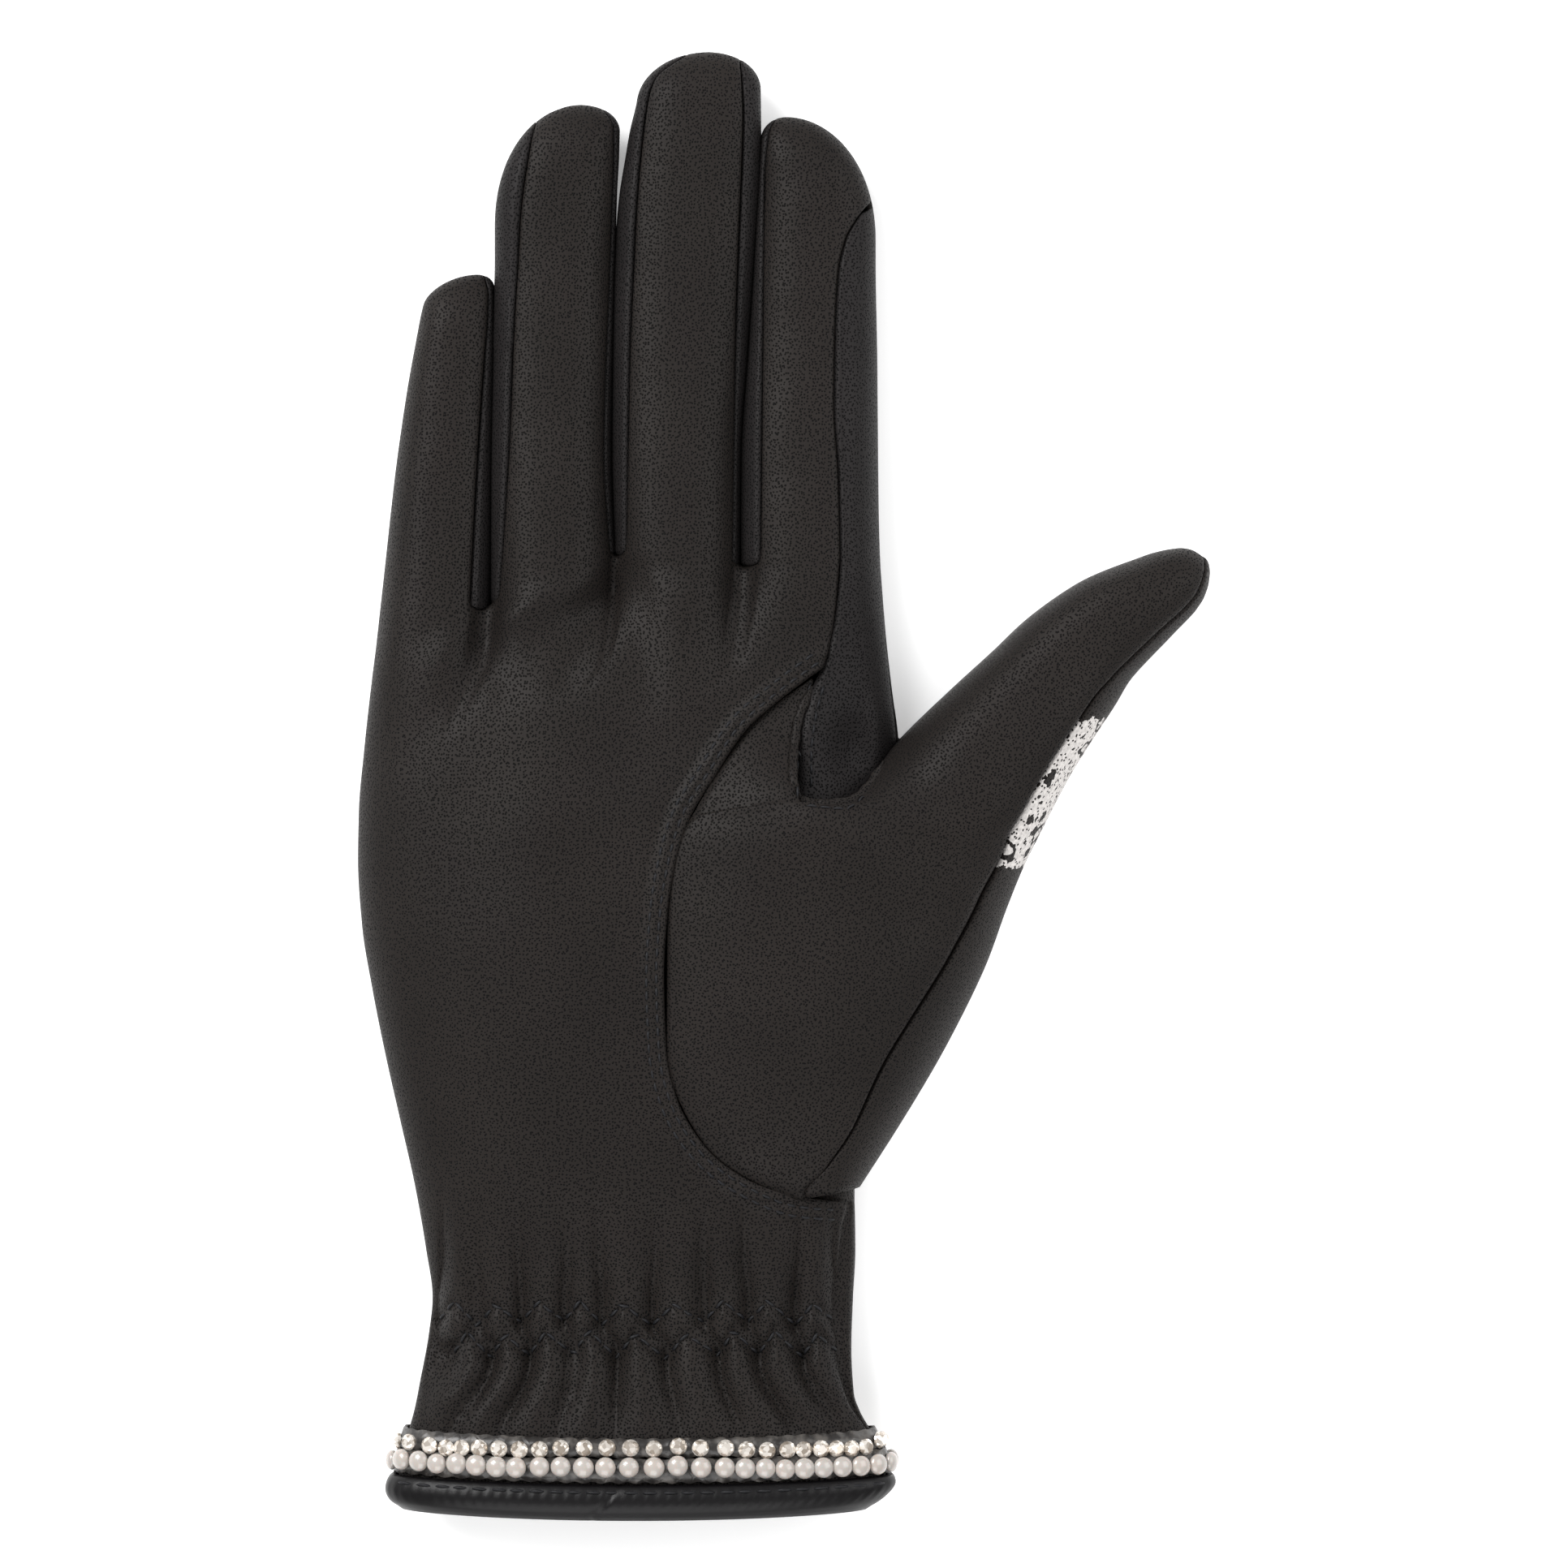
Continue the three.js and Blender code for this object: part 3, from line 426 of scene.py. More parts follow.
class NodeBench:
    """Short calls for building a material's node tree."""

    def __init__(self, name: str) -> None:
        """Opens a new material with one Principled shader."""
        self.material = bpy.data.materials.new(name)
        self.material.use_nodes = True
        self.tree = self.material.node_tree
        self.shader = self.tree.nodes["Principled BSDF"]
        self.coords = self.tree.nodes.new("ShaderNodeTexCoord").outputs["Object"]

    def add(self, kind: str, **settings: object) -> bpy.types.Node:
        """A node with some of its settings."""
        node = self.tree.nodes.new(kind)
        for key, value in settings.items():
            setattr(node, key, value)
        return node

    def link(self, source: bpy.types.NodeSocket, target: bpy.types.NodeSocket) -> None:
        """Joins an output to an input."""
        self.tree.links.new(source, target)

    def wire(self, source: bpy.types.NodeSocket, name: str) -> None:
        """Joins an output to one of the shader's own sockets."""
        self.link(source, self.shader.inputs[name])

    def place(
        self, scale: tuple[float, float, float] = (1, 1, 1), turn: tuple[float, float, float] = (0, 0, 0),
    ) -> bpy.types.NodeSocket:
        """Object coordinates, scaled and turned."""
        mapping = self.add("ShaderNodeMapping")
        mapping.inputs["Scale"].default_value = scale
        mapping.inputs["Rotation"].default_value = turn
        self.link(self.coords, mapping.inputs["Vector"])
        return mapping.outputs["Vector"]

    def flat_places(self) -> bpy.types.NodeSocket:
        """Places on the flat leather, from the piece's own map."""
        return self.add("ShaderNodeUVMap", uv_map="flat").outputs[0]

    def warp(self, vector: bpy.types.NodeSocket, scale: float, reach: float) -> bpy.types.NodeSocket:
        """Places moved about by noise: at most by about half of reach."""
        drift = self.add("ShaderNodeTexNoise")
        drift.inputs["Scale"].default_value = scale
        drift.inputs["Detail"].default_value = 1.0
        self.link(vector, drift.inputs["Vector"])
        away = self.add("ShaderNodeVectorMath", operation="SUBTRACT")
        self.link(drift.outputs["Color"], away.inputs[0])
        away.inputs[1].default_value = (0.5, 0.5, 0.5)
        moved = self.add("ShaderNodeVectorMath", operation="MULTIPLY_ADD")
        self.link(away.outputs[0], moved.inputs[0])
        moved.inputs[1].default_value = (reach, reach, reach)
        self.link(vector, moved.inputs[2])
        return moved.outputs[0]

    def noise(self, scale: float, detail: float = 2.0, vector=None) -> bpy.types.NodeSocket:
        """Fractal noise of a scale per metre."""
        node = self.add("ShaderNodeTexNoise")
        node.inputs["Scale"].default_value = scale
        node.inputs["Detail"].default_value = detail
        self.link(vector or self.coords, node.inputs["Vector"])
        return node.outputs["Fac"]

    def voronoi(self, scale: float, randomness: float = 1.0, feature: str = "F1", vector=None):
        """Cell distance of a scale per metre, in the plane where a vector is given."""
        node = self.add("ShaderNodeTexVoronoi", feature=feature, voronoi_dimensions="2D" if vector else "3D")
        node.inputs["Scale"].default_value = scale
        node.inputs["Randomness"].default_value = randomness
        self.link(vector or self.coords, node.inputs["Vector"])
        return node.outputs["Distance"]

    def ramp(self, source: bpy.types.NodeSocket, low: float, high: float) -> bpy.types.NodeSocket:
        """Smooth map of a value to 0 at low and 1 at high."""
        node = self.add("ShaderNodeMapRange", interpolation_type="SMOOTHSTEP")
        node.inputs["From Min"].default_value = low
        node.inputs["From Max"].default_value = high
        self.link(source, node.inputs["Value"])
        return node.outputs["Result"]

    def math(self, operation: str, one, two=None, clamp: bool = False) -> bpy.types.NodeSocket:
        """An operation on one or two values, each a socket or a number."""
        node = self.add("ShaderNodeMath", operation=operation, use_clamp=clamp)
        for socket, value in zip(node.inputs, (one, two)):
            if isinstance(value, (int, float)):
                socket.default_value = value
            elif value is not None:
                self.link(value, socket)
        return node.outputs[0]

    def scaled(self, source: bpy.types.NodeSocket, factor: float, offset: float) -> bpy.types.NodeSocket:
        """A value times a factor, plus an offset."""
        made = self.math("MULTIPLY_ADD", source, factor)
        made.node.inputs[2].default_value = offset
        return made

    def mix(self, factor, one, two) -> bpy.types.NodeSocket:
        """A mix of two colours, each a socket or a triple."""
        node = self.add("ShaderNodeMix", data_type="RGBA")
        self.link(factor, node.inputs["Factor"])
        for socket, value in zip((node.inputs[6], node.inputs[7]), (one, two)):
            if isinstance(value, tuple):
                socket.default_value = (*value, 1)
            else:
                self.link(value, socket)
        return node.outputs[2]

    def bump(self, height, distance: float, strength: float = 1.0, below=None) -> bpy.types.NodeSocket:
        """A bump of a height socket, in metres; `below` is a bump that it lies on."""
        node = self.add("ShaderNodeBump")
        node.inputs["Distance"].default_value = distance
        node.inputs["Strength"].default_value = strength
        self.link(height, node.inputs["Height"])
        if below is not None:
            self.link(below, node.inputs["Normal"])
        return node.outputs["Normal"]

    def set(self, **values: object) -> None:
        """Plain values on the shader's own sockets, by name with underscores for spaces."""
        for key, value in values.items():
            self.shader.inputs[key.replace("_", " ")].default_value = value


@dataclass(frozen=True)
class LeatherFinish:
    """Soft leather with dense dark pits, fine creases and a faint sheen. Scales are per metre.

    Attributes:
        name: Name of the material.
        color: Colour between the pits.
        pit: Colour in a pit.
        pits_per_metre: Cells of the pits' pattern in a metre.
        pit_size: Mean radius of a pit as a share of a cell.
        pit_spread: How much that radius changes over the leather.
        roughness: Roughness between the pits.
        pit_gloss: How much duller a pit is.
        drift_scale: Scale of the noise that moves the pits about, and creases the leather.
        mottle_scale: Scale of the slow change of lightness.
        grain_scale: Scale of the finest grain.
    """

    name: str
    color: tuple[float, float, float]
    pit: tuple[float, float, float] = (0.0016, 0.0015, 0.0016)
    pits_per_metre: float = 1840.0
    pit_size: float = 0.23
    pit_spread: float = 0.16
    roughness: float = 0.5
    pit_gloss: float = 0.25
    drift_scale: float = 420.0
    mottle_scale: float = 45.0
    grain_scale: float = 2300.0

    def build(self) -> bpy.types.Material:
        """The material: a pit is a cell of a flat Voronoi pattern, where nearer its middle than a size."""
        bench = NodeBench(self.name)
        bench.wire(self.ground(bench), "Base Color")
        return bench.material

    def ground(self, bench: NodeBench) -> bpy.types.NodeSocket:
        """Wires the leather's relief on a bench and returns its colour socket."""
        flat = bench.flat_places()
        drawn = bench.warp(flat, self.drift_scale, 0.0006)
        cells = bench.voronoi(self.pits_per_metre, 0.86, vector=drawn)
        least = self.pit_size - 0.5 * self.pit_spread
        size = bench.scaled(bench.noise(700.0, 1.0, flat), self.pit_spread, least)
        pit = bench.ramp(bench.math("SUBTRACT", cells, size), -0.08, 0.12)
        mottle = bench.ramp(bench.noise(self.mottle_scale, 3.0, flat), 0.3, 0.7)
        light = tuple(min(1.0, 1.25 * c) for c in self.color)
        color = bench.mix(pit, self.pit, bench.mix(mottle, self.color, light))
        bench.wire(bench.scaled(pit, -self.pit_gloss, self.roughness + self.pit_gloss), "Roughness")
        crease = bench.bump(bench.noise(self.drift_scale, 3.0, flat), 0.00016, 0.4)
        grained = bench.bump(bench.noise(self.grain_scale, 2.0, flat), 0.00004, 0.5, crease)
        bench.wire(bench.bump(pit, 0.00009, 0.8, grained), "Normal")
        bench.set(Specular_IOR_Level=0.1)
        return color


@dataclass(frozen=True)
class FoilFinish:
    """Leather with a band of silver animal print, with ragged edges and dark blots.

    Attributes:
        name: Name of the material.
        leather: The leather under the print.
        low: Lower end of the band, in millimetres.
        high: Its upper end.
        silver: Colour of the print.
        blots: (scale, size, share, hole) of each kind of spot, as `spots` takes them.
        raggedness: How far its ends wander, in metres.
    """

    name: str
    leather: LeatherFinish
    low: float
    high: float
    silver: tuple[float, float, float] = (0.66, 0.63, 0.61)
    blots: tuple[tuple[float, float, float, float], ...] = (
        (620.0, 0.25, 0.27, 0.0), (330.0, 0.31, 0.3, 0.0), (185.0, 0.35, 0.3, 0.2), (1500.0, 0.3, 0.42, 0.0),
    )
    raggedness: float = 0.0034

    def spots(
        self, bench: NodeBench, scale: float, size: float, share: float, hole: float = 0.0
    ) -> bpy.types.NodeSocket:
        """Mask of irregular spots: flat cells nearer their middle than a size, in a share of all cells.

        Args:
            bench: The material's bench.
            scale: Cells in a metre.
            size: Radius as a share of a cell.
            share: Share of the cells that have a spot.
            hole: Radius of a clear middle, which makes a ring.

        Returns:
            The mask's socket.
        """
        cell = bench.add("ShaderNodeTexVoronoi", voronoi_dimensions="2D")
        cell.inputs["Scale"].default_value = scale
        bench.link(bench.warp(bench.flat_places(), 3.1 * scale, 0.55 / scale), cell.inputs["Vector"])
        split = bench.add("ShaderNodeSeparateColor")
        bench.link(cell.outputs["Color"], split.inputs[0])
        near = bench.math("LESS_THAN", cell.outputs["Distance"], size)
        if hole:
            near = bench.math("MULTIPLY", near, bench.math("GREATER_THAN", cell.outputs["Distance"], hole))
        return bench.math("MULTIPLY", near, bench.math("LESS_THAN", split.outputs[0], share))

    def build(self) -> bpy.types.Material:
        """The material: the band's mask is the height with noise; spots and rings are cut out of it."""
        bench = NodeBench(self.name)
        ground = self.leather.ground(bench)
        split = bench.add("ShaderNodeSeparateXYZ")
        bench.link(bench.coords, split.inputs[0])
        edge = bench.noise(800.0, 4.0, bench.flat_places())
        ragged = bench.scaled(edge, self.raggedness, -0.5 * self.raggedness)
        height = bench.math("ADD", split.outputs["Y"], ragged)
        band = bench.math(
            "MULTIPLY",
            bench.math("GREATER_THAN", height, self.low * MM),
            bench.math("LESS_THAN", height, self.high * MM),
        )
        blots = self.spots(bench, *self.blots[0])
        for blot in self.blots[1:]:
            blots = bench.math("MAXIMUM", blots, self.spots(bench, *blot))
        printed = bench.math("MULTIPLY", band, bench.math("SUBTRACT", 1.0, blots))
        worn = bench.ramp(bench.noise(1500.0, 3.0, bench.flat_places()), 0.3, 0.75)
        shade = bench.mix(worn, tuple(0.72 * c for c in self.silver), self.silver)
        bench.wire(bench.mix(printed, ground, shade), "Base Color")
        bench.wire(bench.math("MULTIPLY", printed, 0.35), "Metallic")
        return bench.material


@dataclass(frozen=True)
class ThreadFinish:
    """Twisted near-black thread."""

    name: str
    color: tuple[float, float, float] = (0.0045, 0.0045, 0.0054)

    def build(self) -> bpy.types.Material:
        """The material: fine slanted ridges of noise stand for the twist."""
        bench = NodeBench(self.name)
        twist = bench.noise(2400.0, 2.0, bench.place((1, 1, 1), (0, 0, 0.7)))
        light = tuple(2.4 * c for c in self.color)
        bench.wire(bench.mix(twist, self.color, light), "Base Color")
        bench.wire(bench.bump(twist, 0.00008, 0.8), "Normal")
        bench.set(Roughness=0.55, Specular_IOR_Level=0.24)
        return bench.material


@dataclass(frozen=True)
class SatinFinish:
    """Smooth dark welt with a soft lustre."""

    name: str
    color: tuple[float, float, float] = (0.003, 0.0027, 0.003)

    def build(self) -> bpy.types.Material:
        """The material: soft slow waviness, with a very fine grain in its gloss."""
        bench = NodeBench(self.name)
        slow = bench.noise(60.0, 3.0, bench.place((0.35, 1, 1)))
        light = tuple(1.5 * c for c in self.color)
        bench.wire(bench.mix(bench.ramp(slow, 0.3, 0.7), self.color, light), "Base Color")
        bench.wire(bench.scaled(bench.noise(900.0, 2.0), 0.16, 0.3), "Roughness")
        wavy = bench.bump(slow, 0.0005, 0.5)
        bench.wire(bench.bump(bench.noise(3200.0, 2.0), 0.00004, 0.5, wavy), "Normal")
        bench.set(Specular_IOR_Level=0.19, Coat_Weight=0.02, Coat_Roughness=0.4)
        return bench.material


@dataclass(frozen=True)
class TapeFinish:
    """Clear glue-backed tape over the dark leather, greyish and crinkled."""

    name: str
    color: tuple[float, float, float] = (0.075, 0.068, 0.062)

    def build(self) -> bpy.types.Material:
        """The material: cloudy patches between clear dark ones, with crinkles in its gloss."""
        bench = NodeBench(self.name)
        cloud = bench.ramp(bench.noise(480.0, 3.0), 0.42, 0.66)
        bench.wire(bench.mix(cloud, (0.018, 0.016, 0.015), self.color), "Base Color")
        crinkle = bench.voronoi(420.0, 1.0, "F2")
        bench.wire(bench.bump(crinkle, 0.0004, 0.8), "Normal")
        bench.set(Roughness=0.34, Specular_IOR_Level=0.4, Coat_Weight=0.1, Coat_Roughness=0.2)
        return bench.material


@dataclass(frozen=True)
class PearlFinish:
    """Imitation pearl: milky grey cream with a soft coat."""

    name: str
    color: tuple[float, float, float] = (0.375, 0.345, 0.32)

    def build(self) -> bpy.types.Material:
        """The material: a slow change of tint under a smooth coat."""
        bench = NodeBench(self.name)
        tint = bench.ramp(bench.noise(260.0, 1.0), 0.35, 0.65)
        warm = (self.color[0] * 1.03, self.color[1] * 1.0, self.color[2] * 0.98)
        bench.wire(bench.mix(tint, self.color, warm), "Base Color")
        bench.set(Roughness=0.3, Specular_IOR_Level=0.55, Coat_Weight=0.7, Coat_Roughness=0.1)
        bench.set(Subsurface_Weight=0.12, Subsurface_Scale=0.001)
        return bench.material


@dataclass(frozen=True)
class CrystalFinish:
    """Foil-backed cut glass: the room that each facet mirrors is painted on as bright and dark cells."""

    name: str
    color: tuple[float, float, float] = (0.95, 0.89, 0.82)

    def build(self) -> bpy.types.Material:
        """The material: bright metal-like facets under a coat, with painted reflections that go from dark to
        bright from cell to cell.
        """
        bench = NodeBench(self.name)
        cell = bench.add("ShaderNodeTexVoronoi")
        cell.inputs["Scale"].default_value = 1250.0
        bench.link(bench.coords, cell.inputs["Vector"])
        # Painted reflection: each cell's random colour picks a lightness between dark amber and the bright
        # cream, standing in for the room mirrored in the facets.
        painted_reflection = bench.ramp(cell.outputs["Color"], 0.2, 0.75)
        bench.wire(bench.mix(painted_reflection, (0.4, 0.34, 0.28), self.color), "Base Color")
        bench.set(Metallic=0.55, Roughness=0.12, Coat_Weight=0.9, Coat_Roughness=0.03)
        return bench.material


@dataclass(frozen=True)
class PaperFinish:
    """Plain white studio paper."""

    name: str
    color: tuple[float, float, float] = (0.93, 0.93, 0.93)

    def build(self) -> bpy.types.Material:
        """The material: matt, with a trace of tooth."""
        bench = NodeBench(self.name)
        tooth = bench.noise(900.0, 2.0)
        pale = tuple(min(1.0, 1.01 * c) for c in self.color)
        bench.wire(bench.mix(tooth, self.color, pale), "Base Color")
        bench.set(Roughness=0.9, Specular_IOR_Level=0.1, Emission_Color=(1, 1, 1, 1), Emission_Strength=0.3)
        return bench.material


@dataclass(frozen=True)
class Finger:
    """One finger's outline, seams and thickness.

    Attributes:
        tip: Place of its end, (px, py).
        left: Its left side as (py, px) rows, without the rounding of the tip.
        right: Its right side in the same way.
        rounding: Length in pixels over which the left and the right side round into the tip.
        left_seam: Edge of its front leather on the left as (py, px) rows; empty where it is the side itself.
        right_seam: The same on the right.
        roots: py where its front leather starts, at its left and right.
        columns: Points across its front leather.
        top: Millimetres above the floor as (pixels from the tip, height) rows.
        right_from: py above which the right seam isn't sewn yet: the front leather reaches the side there.
    """

    tip: tuple[float, float]
    left: tuple[tuple[float, float], ...]
    right: tuple[tuple[float, float], ...]
    rounding: tuple[float, float]
    left_seam: tuple[tuple[float, float], ...]
    right_seam: tuple[tuple[float, float], ...]
    roots: tuple[float, float]
    columns: int
    top: tuple[tuple[float, float], ...] = ((0, 12.4), (80, 13.4), (300, 14.6), (480, 16.2), (620, 17.2))
    right_from: float = 0.0

    def sides(self, py: np.ndarray) -> tuple[np.ndarray, np.ndarray]:
        """px of both sides: the plain side drawn in to the tip by a quarter of a superellipse."""
        def drawn(reach: float) -> np.ndarray:
            near = 1 - np.clip((py - self.tip[1]) / reach, 0, 1)
            return np.sqrt(np.clip(1 - near**TIP_POWER, 0, 1))

        left = self.tip[0] + (flow(py, self.left) - self.tip[0]) * drawn(self.rounding[0])
        right = self.tip[0] + (flow(py, self.right) - self.tip[0]) * drawn(self.rounding[1])
        return left, right

    def turn_at(self, py: np.ndarray, px: np.ndarray) -> np.ndarray:
        """Turn round the finger of a place on its front."""
        left, right = self.sides(py)
        half = np.maximum(0.5 * (right - left), 1e-6)
        return turn_of((px - 0.5 * (left + right)) / half)

    def turns(self, py: np.ndarray) -> tuple[np.ndarray, np.ndarray]:
        """Turns at which the front leather starts and ends."""
        start = self.turn_at(py, flow(py, self.left_seam)) if self.left_seam else np.zeros_like(py)
        end = self.turn_at(py, flow(py, self.right_seam)) if self.right_seam else np.full_like(py, math.pi)
        return start, end

    def surface(self, py: np.ndarray, turn: np.ndarray) -> np.ndarray:
        """Points in millimetres: a soft section, whose height closes in a quarter circle at the tip.

        Args:
            py: Place along the finger.
            turn: Turn round it, 0 at the left side, pi at the right, on to 2 pi underneath.

        Returns:
            The points.
        """
        left, right = self.sides(py)
        px = 0.5 * (left + right) + 0.5 * (right - left) * share_of(turn)
        from_tip = py - self.tip[1]
        close = np.sqrt(np.clip(1 - (1 - np.clip(from_tip / TIP_CLOSE, 0, 1)) ** 2, 0, 1))
        side = SIDE_HEIGHT + 1.6 * (1 - ease(from_tip / 260.0))
        rise = (flow(from_tip, self.top) - side) * close
        floor = 1.9 * (1 - ease(from_tip / 300.0))
        sink = (side - floor) * close
        wave = np.sin(turn)
        z = side + np.where(wave > 0, rise * wave, sink * np.sign(wave) * np.abs(wave) ** 0.6)
        return points_at(px, py, z)


LITTLE = Finger(
    tip=(590, 339),
    left=((339, 534), (380, 521), (420, 513), (480, 502), (560, 490), (600, 485), (700, 474), (800, 463)),
    right=((339, 610), (440, 609), (600, 608), (760, 606)),
    rounding=(38, 18),
    left_seam=(),
    right_seam=((339, 598), (365, 604), (400, 603), (440, 600), (600, 590), (745, 583)),
    roots=(800, 745),
    columns=30,
)
RING = Finger(
    tip=(716, 130),
    left=((130, 610), (320, 610), (430, 606), (600, 604), (740, 604)),
    right=((130, 765), (190, 763), (240, 760), (300, 758.5), (440, 756.5), (560, 755.5), (676, 759.5)),
    rounding=(150, 34),
    left_seam=(
        (130, 700), (150, 661), (200, 650), (260, 642), (340, 637), (430, 632), (520, 629), (640, 622),
        (735, 615),
    ),
    right_seam=((130, 740), (160, 758), (300, 754), (560, 746), (676, 753)),
    roots=(735, 676),
    columns=32,
)
MIDDLE = Finger(
    tip=(873, 65),
    left=(
        (65, 791), (125, 785), (160, 777), (200, 770), (240, 763.5), (290, 759), (400, 755.5),
        (560, 753.5), (676, 757),
    ),
    right=((65, 937), (200, 938), (300, 932), (440, 922), (560, 914), (690, 913)),
    rounding=(60, 46),
    left_seam=((65, 850), (100, 806), (130, 797), (240, 785), (330, 780), (450, 775), (676, 771)),
    right_seam=((65, 890), (75, 913), (150, 917), (300, 912), (420, 908), (690, 904)),
    roots=(676, 690),
    columns=34,
)
INDEX = Finger(
    tip=(968, 145),
    left=((143, 938), (220, 935), (300, 930), (440, 920), (560, 912), (690, 911)),
    right=((143, 1079), (320, 1079), (440, 1081), (560, 1082), (640, 1083), (720, 1086), (800, 1093)),
    rounding=(30, 152),
    left_seam=((143, 958), (165, 946), (220, 941), (400, 939), (690, 936)),
    right_seam=(
        (143, 1100), (240, 1100), (250, 1073), (262, 1064), (275, 1055), (296, 1043), (340, 1033),
        (420, 1029), (500, 1028), (600, 1034), (700, 1036),
    ),
    roots=(690, 700),
    columns=32,
    right_from=252.0,
)


@dataclass(frozen=True)
class PalmForm:
    """The glove's body from the rim to the crotches: its outline, thickness, folds and gathers.

    Attributes:
        left: Left side, (py, px) rows.
        right: Right side, (py, px) rows, hidden where the thumb covers it.
        edge: Right edge of the palm leather, (py, px) rows: wrist seam, thumb seam and index side seam.
        top: Height of the middle of the palm, (py, millimetres) rows.
        bottom: Height of the back above the floor, (py, millimetres) rows.
        folds: Soft folds as (px, py, px, py, width in pixels, height in millimetres) rows.
        upper_valleys: px of the gathers' valleys at the upper row of stitches.
        lower_valleys: px of the gathers' valleys at the lower row of stitches.
        back_edge: Right edge of the back leather, (py, px) rows: the side, a little less under the thumb.
        rim_valleys: px where the lower valleys arrive at the trim.
        puffs: Height of the gathers, (py, millimetres) rows.
    """

    left: tuple[tuple[float, float], ...] = (
        (700, 474), (760, 468), (840, 458), (920, 449), (1000, 442), (1060, 441), (1140, 446),
        (1220, 459), (1300, 475), (1380, 493), (1460, 511), (1540, 525), (1600, 533), (1640, 529),
        (1700, 519), (1740, 512), (1775, 503), (1810, 494), (1866, 490),
    )
    right: tuple[tuple[float, float], ...] = (
        (700, 1084), (780, 1090), (840, 1096), (915, 1104), (960, 1098), (1100, 1078), (1300, 1060),
        (1480, 1053), (1540, 1054), (1600, 1051), (1660, 1049), (1720, 1052), (1745, 1060),
        (1775, 1076), (1810, 1090), (1866, 1093),
    )
    edge: tuple[tuple[float, float], ...] = (
        (700, 1036), (760, 1030), (822, 1016), (834, 1000), (866, 958), (900, 920), (960, 880),
        (1010, 851), (1060, 835), (1120, 825), (1200, 820), (1290, 823), (1350, 836), (1410, 872),
        (1450, 925), (1472, 990), (1482, 1046), (1510, 1040), (1560, 1034), (1590, 1028), (1640, 1032),
        (1690, 1037), (1730, 1048), (1760, 1066), (1790, 1082), (1866, 1090),
    )
    top: tuple[tuple[float, float], ...] = (
        (700, 17.6), (780, 18.4), (880, 20.2), (1000, 21.8), (1150, 22.2), (1300, 20.8), (1420, 19.2),
        (1520, 17.6), (1600, 16.0), (1650, 15.8), (1720, 17.2), (1775, 18.3), (1866, 18.4),
    )
    bottom: tuple[tuple[float, float], ...] = (
        (700, 0.0), (1540, 0.0), (1620, 0.7), (1720, 2.3), (1780, 2.9), (1866, 2.95),
    )
    folds: tuple[tuple[float, float, float, float, float, float], ...] = (
        (618, 752, 752, 688, 26, 2.0), (764, 690, 700, 830, 24, -2.3), (700, 760, 610, 860, 34, -1.2),
        (566, 772, 490, 905, 30, 1.4), (598, 760, 622, 850, 20, -1.3), (782, 700, 800, 860, 26, -1.2),
        (840, 720, 830, 860, 40, 0.8), (700, 1040, 640, 1320, 90, 0.8), (880, 720, 930, 800, 30, 0.7),
        (560, 1000, 520, 1250, 60, -0.7), (760, 950, 740, 1180, 60, -0.6), (640, 1440, 900, 1480, 40, 0.6),
    )
    back_edge: tuple[tuple[float, float], ...] = (
        (700, 1084), (780, 1088), (800, 1086), (850, 1076), (1000, 1064), (1200, 1050), (1400, 1040),
        (1450, 1040), (1480, 1053), (1540, 1054), (1600, 1051), (1660, 1049), (1720, 1052),
        (1745, 1060), (1775, 1076), (1810, 1090), (1866, 1093),
    )
    upper_valleys: tuple[float, ...] = (541, 590, 643, 697, 743, 804, 868, 922, 980, 1030)
    lower_valleys: tuple[float, ...] = (560, 607, 654, 708, 761, 822, 886, 935, 989, 1036)
    rim_valleys: tuple[float, ...] = (512, 560, 618, 688, 758, 838, 912, 975, 1032, 1080)
    puffs: tuple[tuple[float, float], ...] = (
        (1440, 0.0), (1490, 0.5), (1550, 1.8), (1612, 2.9), (1640, 2.5), (1672, 3.2), (1715, 2.7),
        (1765, 1.3), (1800, 0.1),
    )

    def turn_at(self, py: np.ndarray, px: np.ndarray) -> np.ndarray:
        """Turn round the palm of a place on its front."""
        left, right = flow(py, self.left), flow(py, self.right)
        return turn_of((2 * px - left - right) / (right - left))

    def front_height(self, py: np.ndarray, px: np.ndarray) -> np.ndarray:
        """Height of the palm's front: the side's height, plus the rise times the sine of the turn."""
        side = self.side_height(py)
        return side + (flow(py, self.top) - side) * np.sin(self.turn_at(py, px)) ** 0.9

    def side_height(self, py: np.ndarray) -> np.ndarray:
        """Height at which front and back leather meet; it climbs a little towards the rim."""
        return SIDE_HEIGHT + 3.2 * ease((py - 1560) / 200)

    def back_height(self, py: np.ndarray, px: np.ndarray) -> np.ndarray:
        """Height of the back: it falls from the side by the sine's fifth root, so that it lies flat."""
        side = self.side_height(py)
        return side - (side - flow(py, self.bottom)) * np.sin(self.turn_at(py, px)) ** 0.4

    def fold_lift(self, px: np.ndarray, py: np.ndarray) -> np.ndarray:
        """Millimetres that the folds add: bells across each fold's line, fading at its ends."""
        lift = np.zeros(np.broadcast(px, py).shape)
        for x0, y0, x1, y1, width, height in self.folds:
            run = np.array([x1 - x0, y1 - y0])
            share = ((px - x0) * run[0] + (py - y0) * run[1]) / (run @ run)
            near = np.clip(share, 0, 1)
            gap = np.hypot(px - x0 - near * run[0], py - y0 - near * run[1])
            fade = 1 - 0.65 * near
            lift += height * fade * np.exp(-((gap / width) ** 2))
        return lift

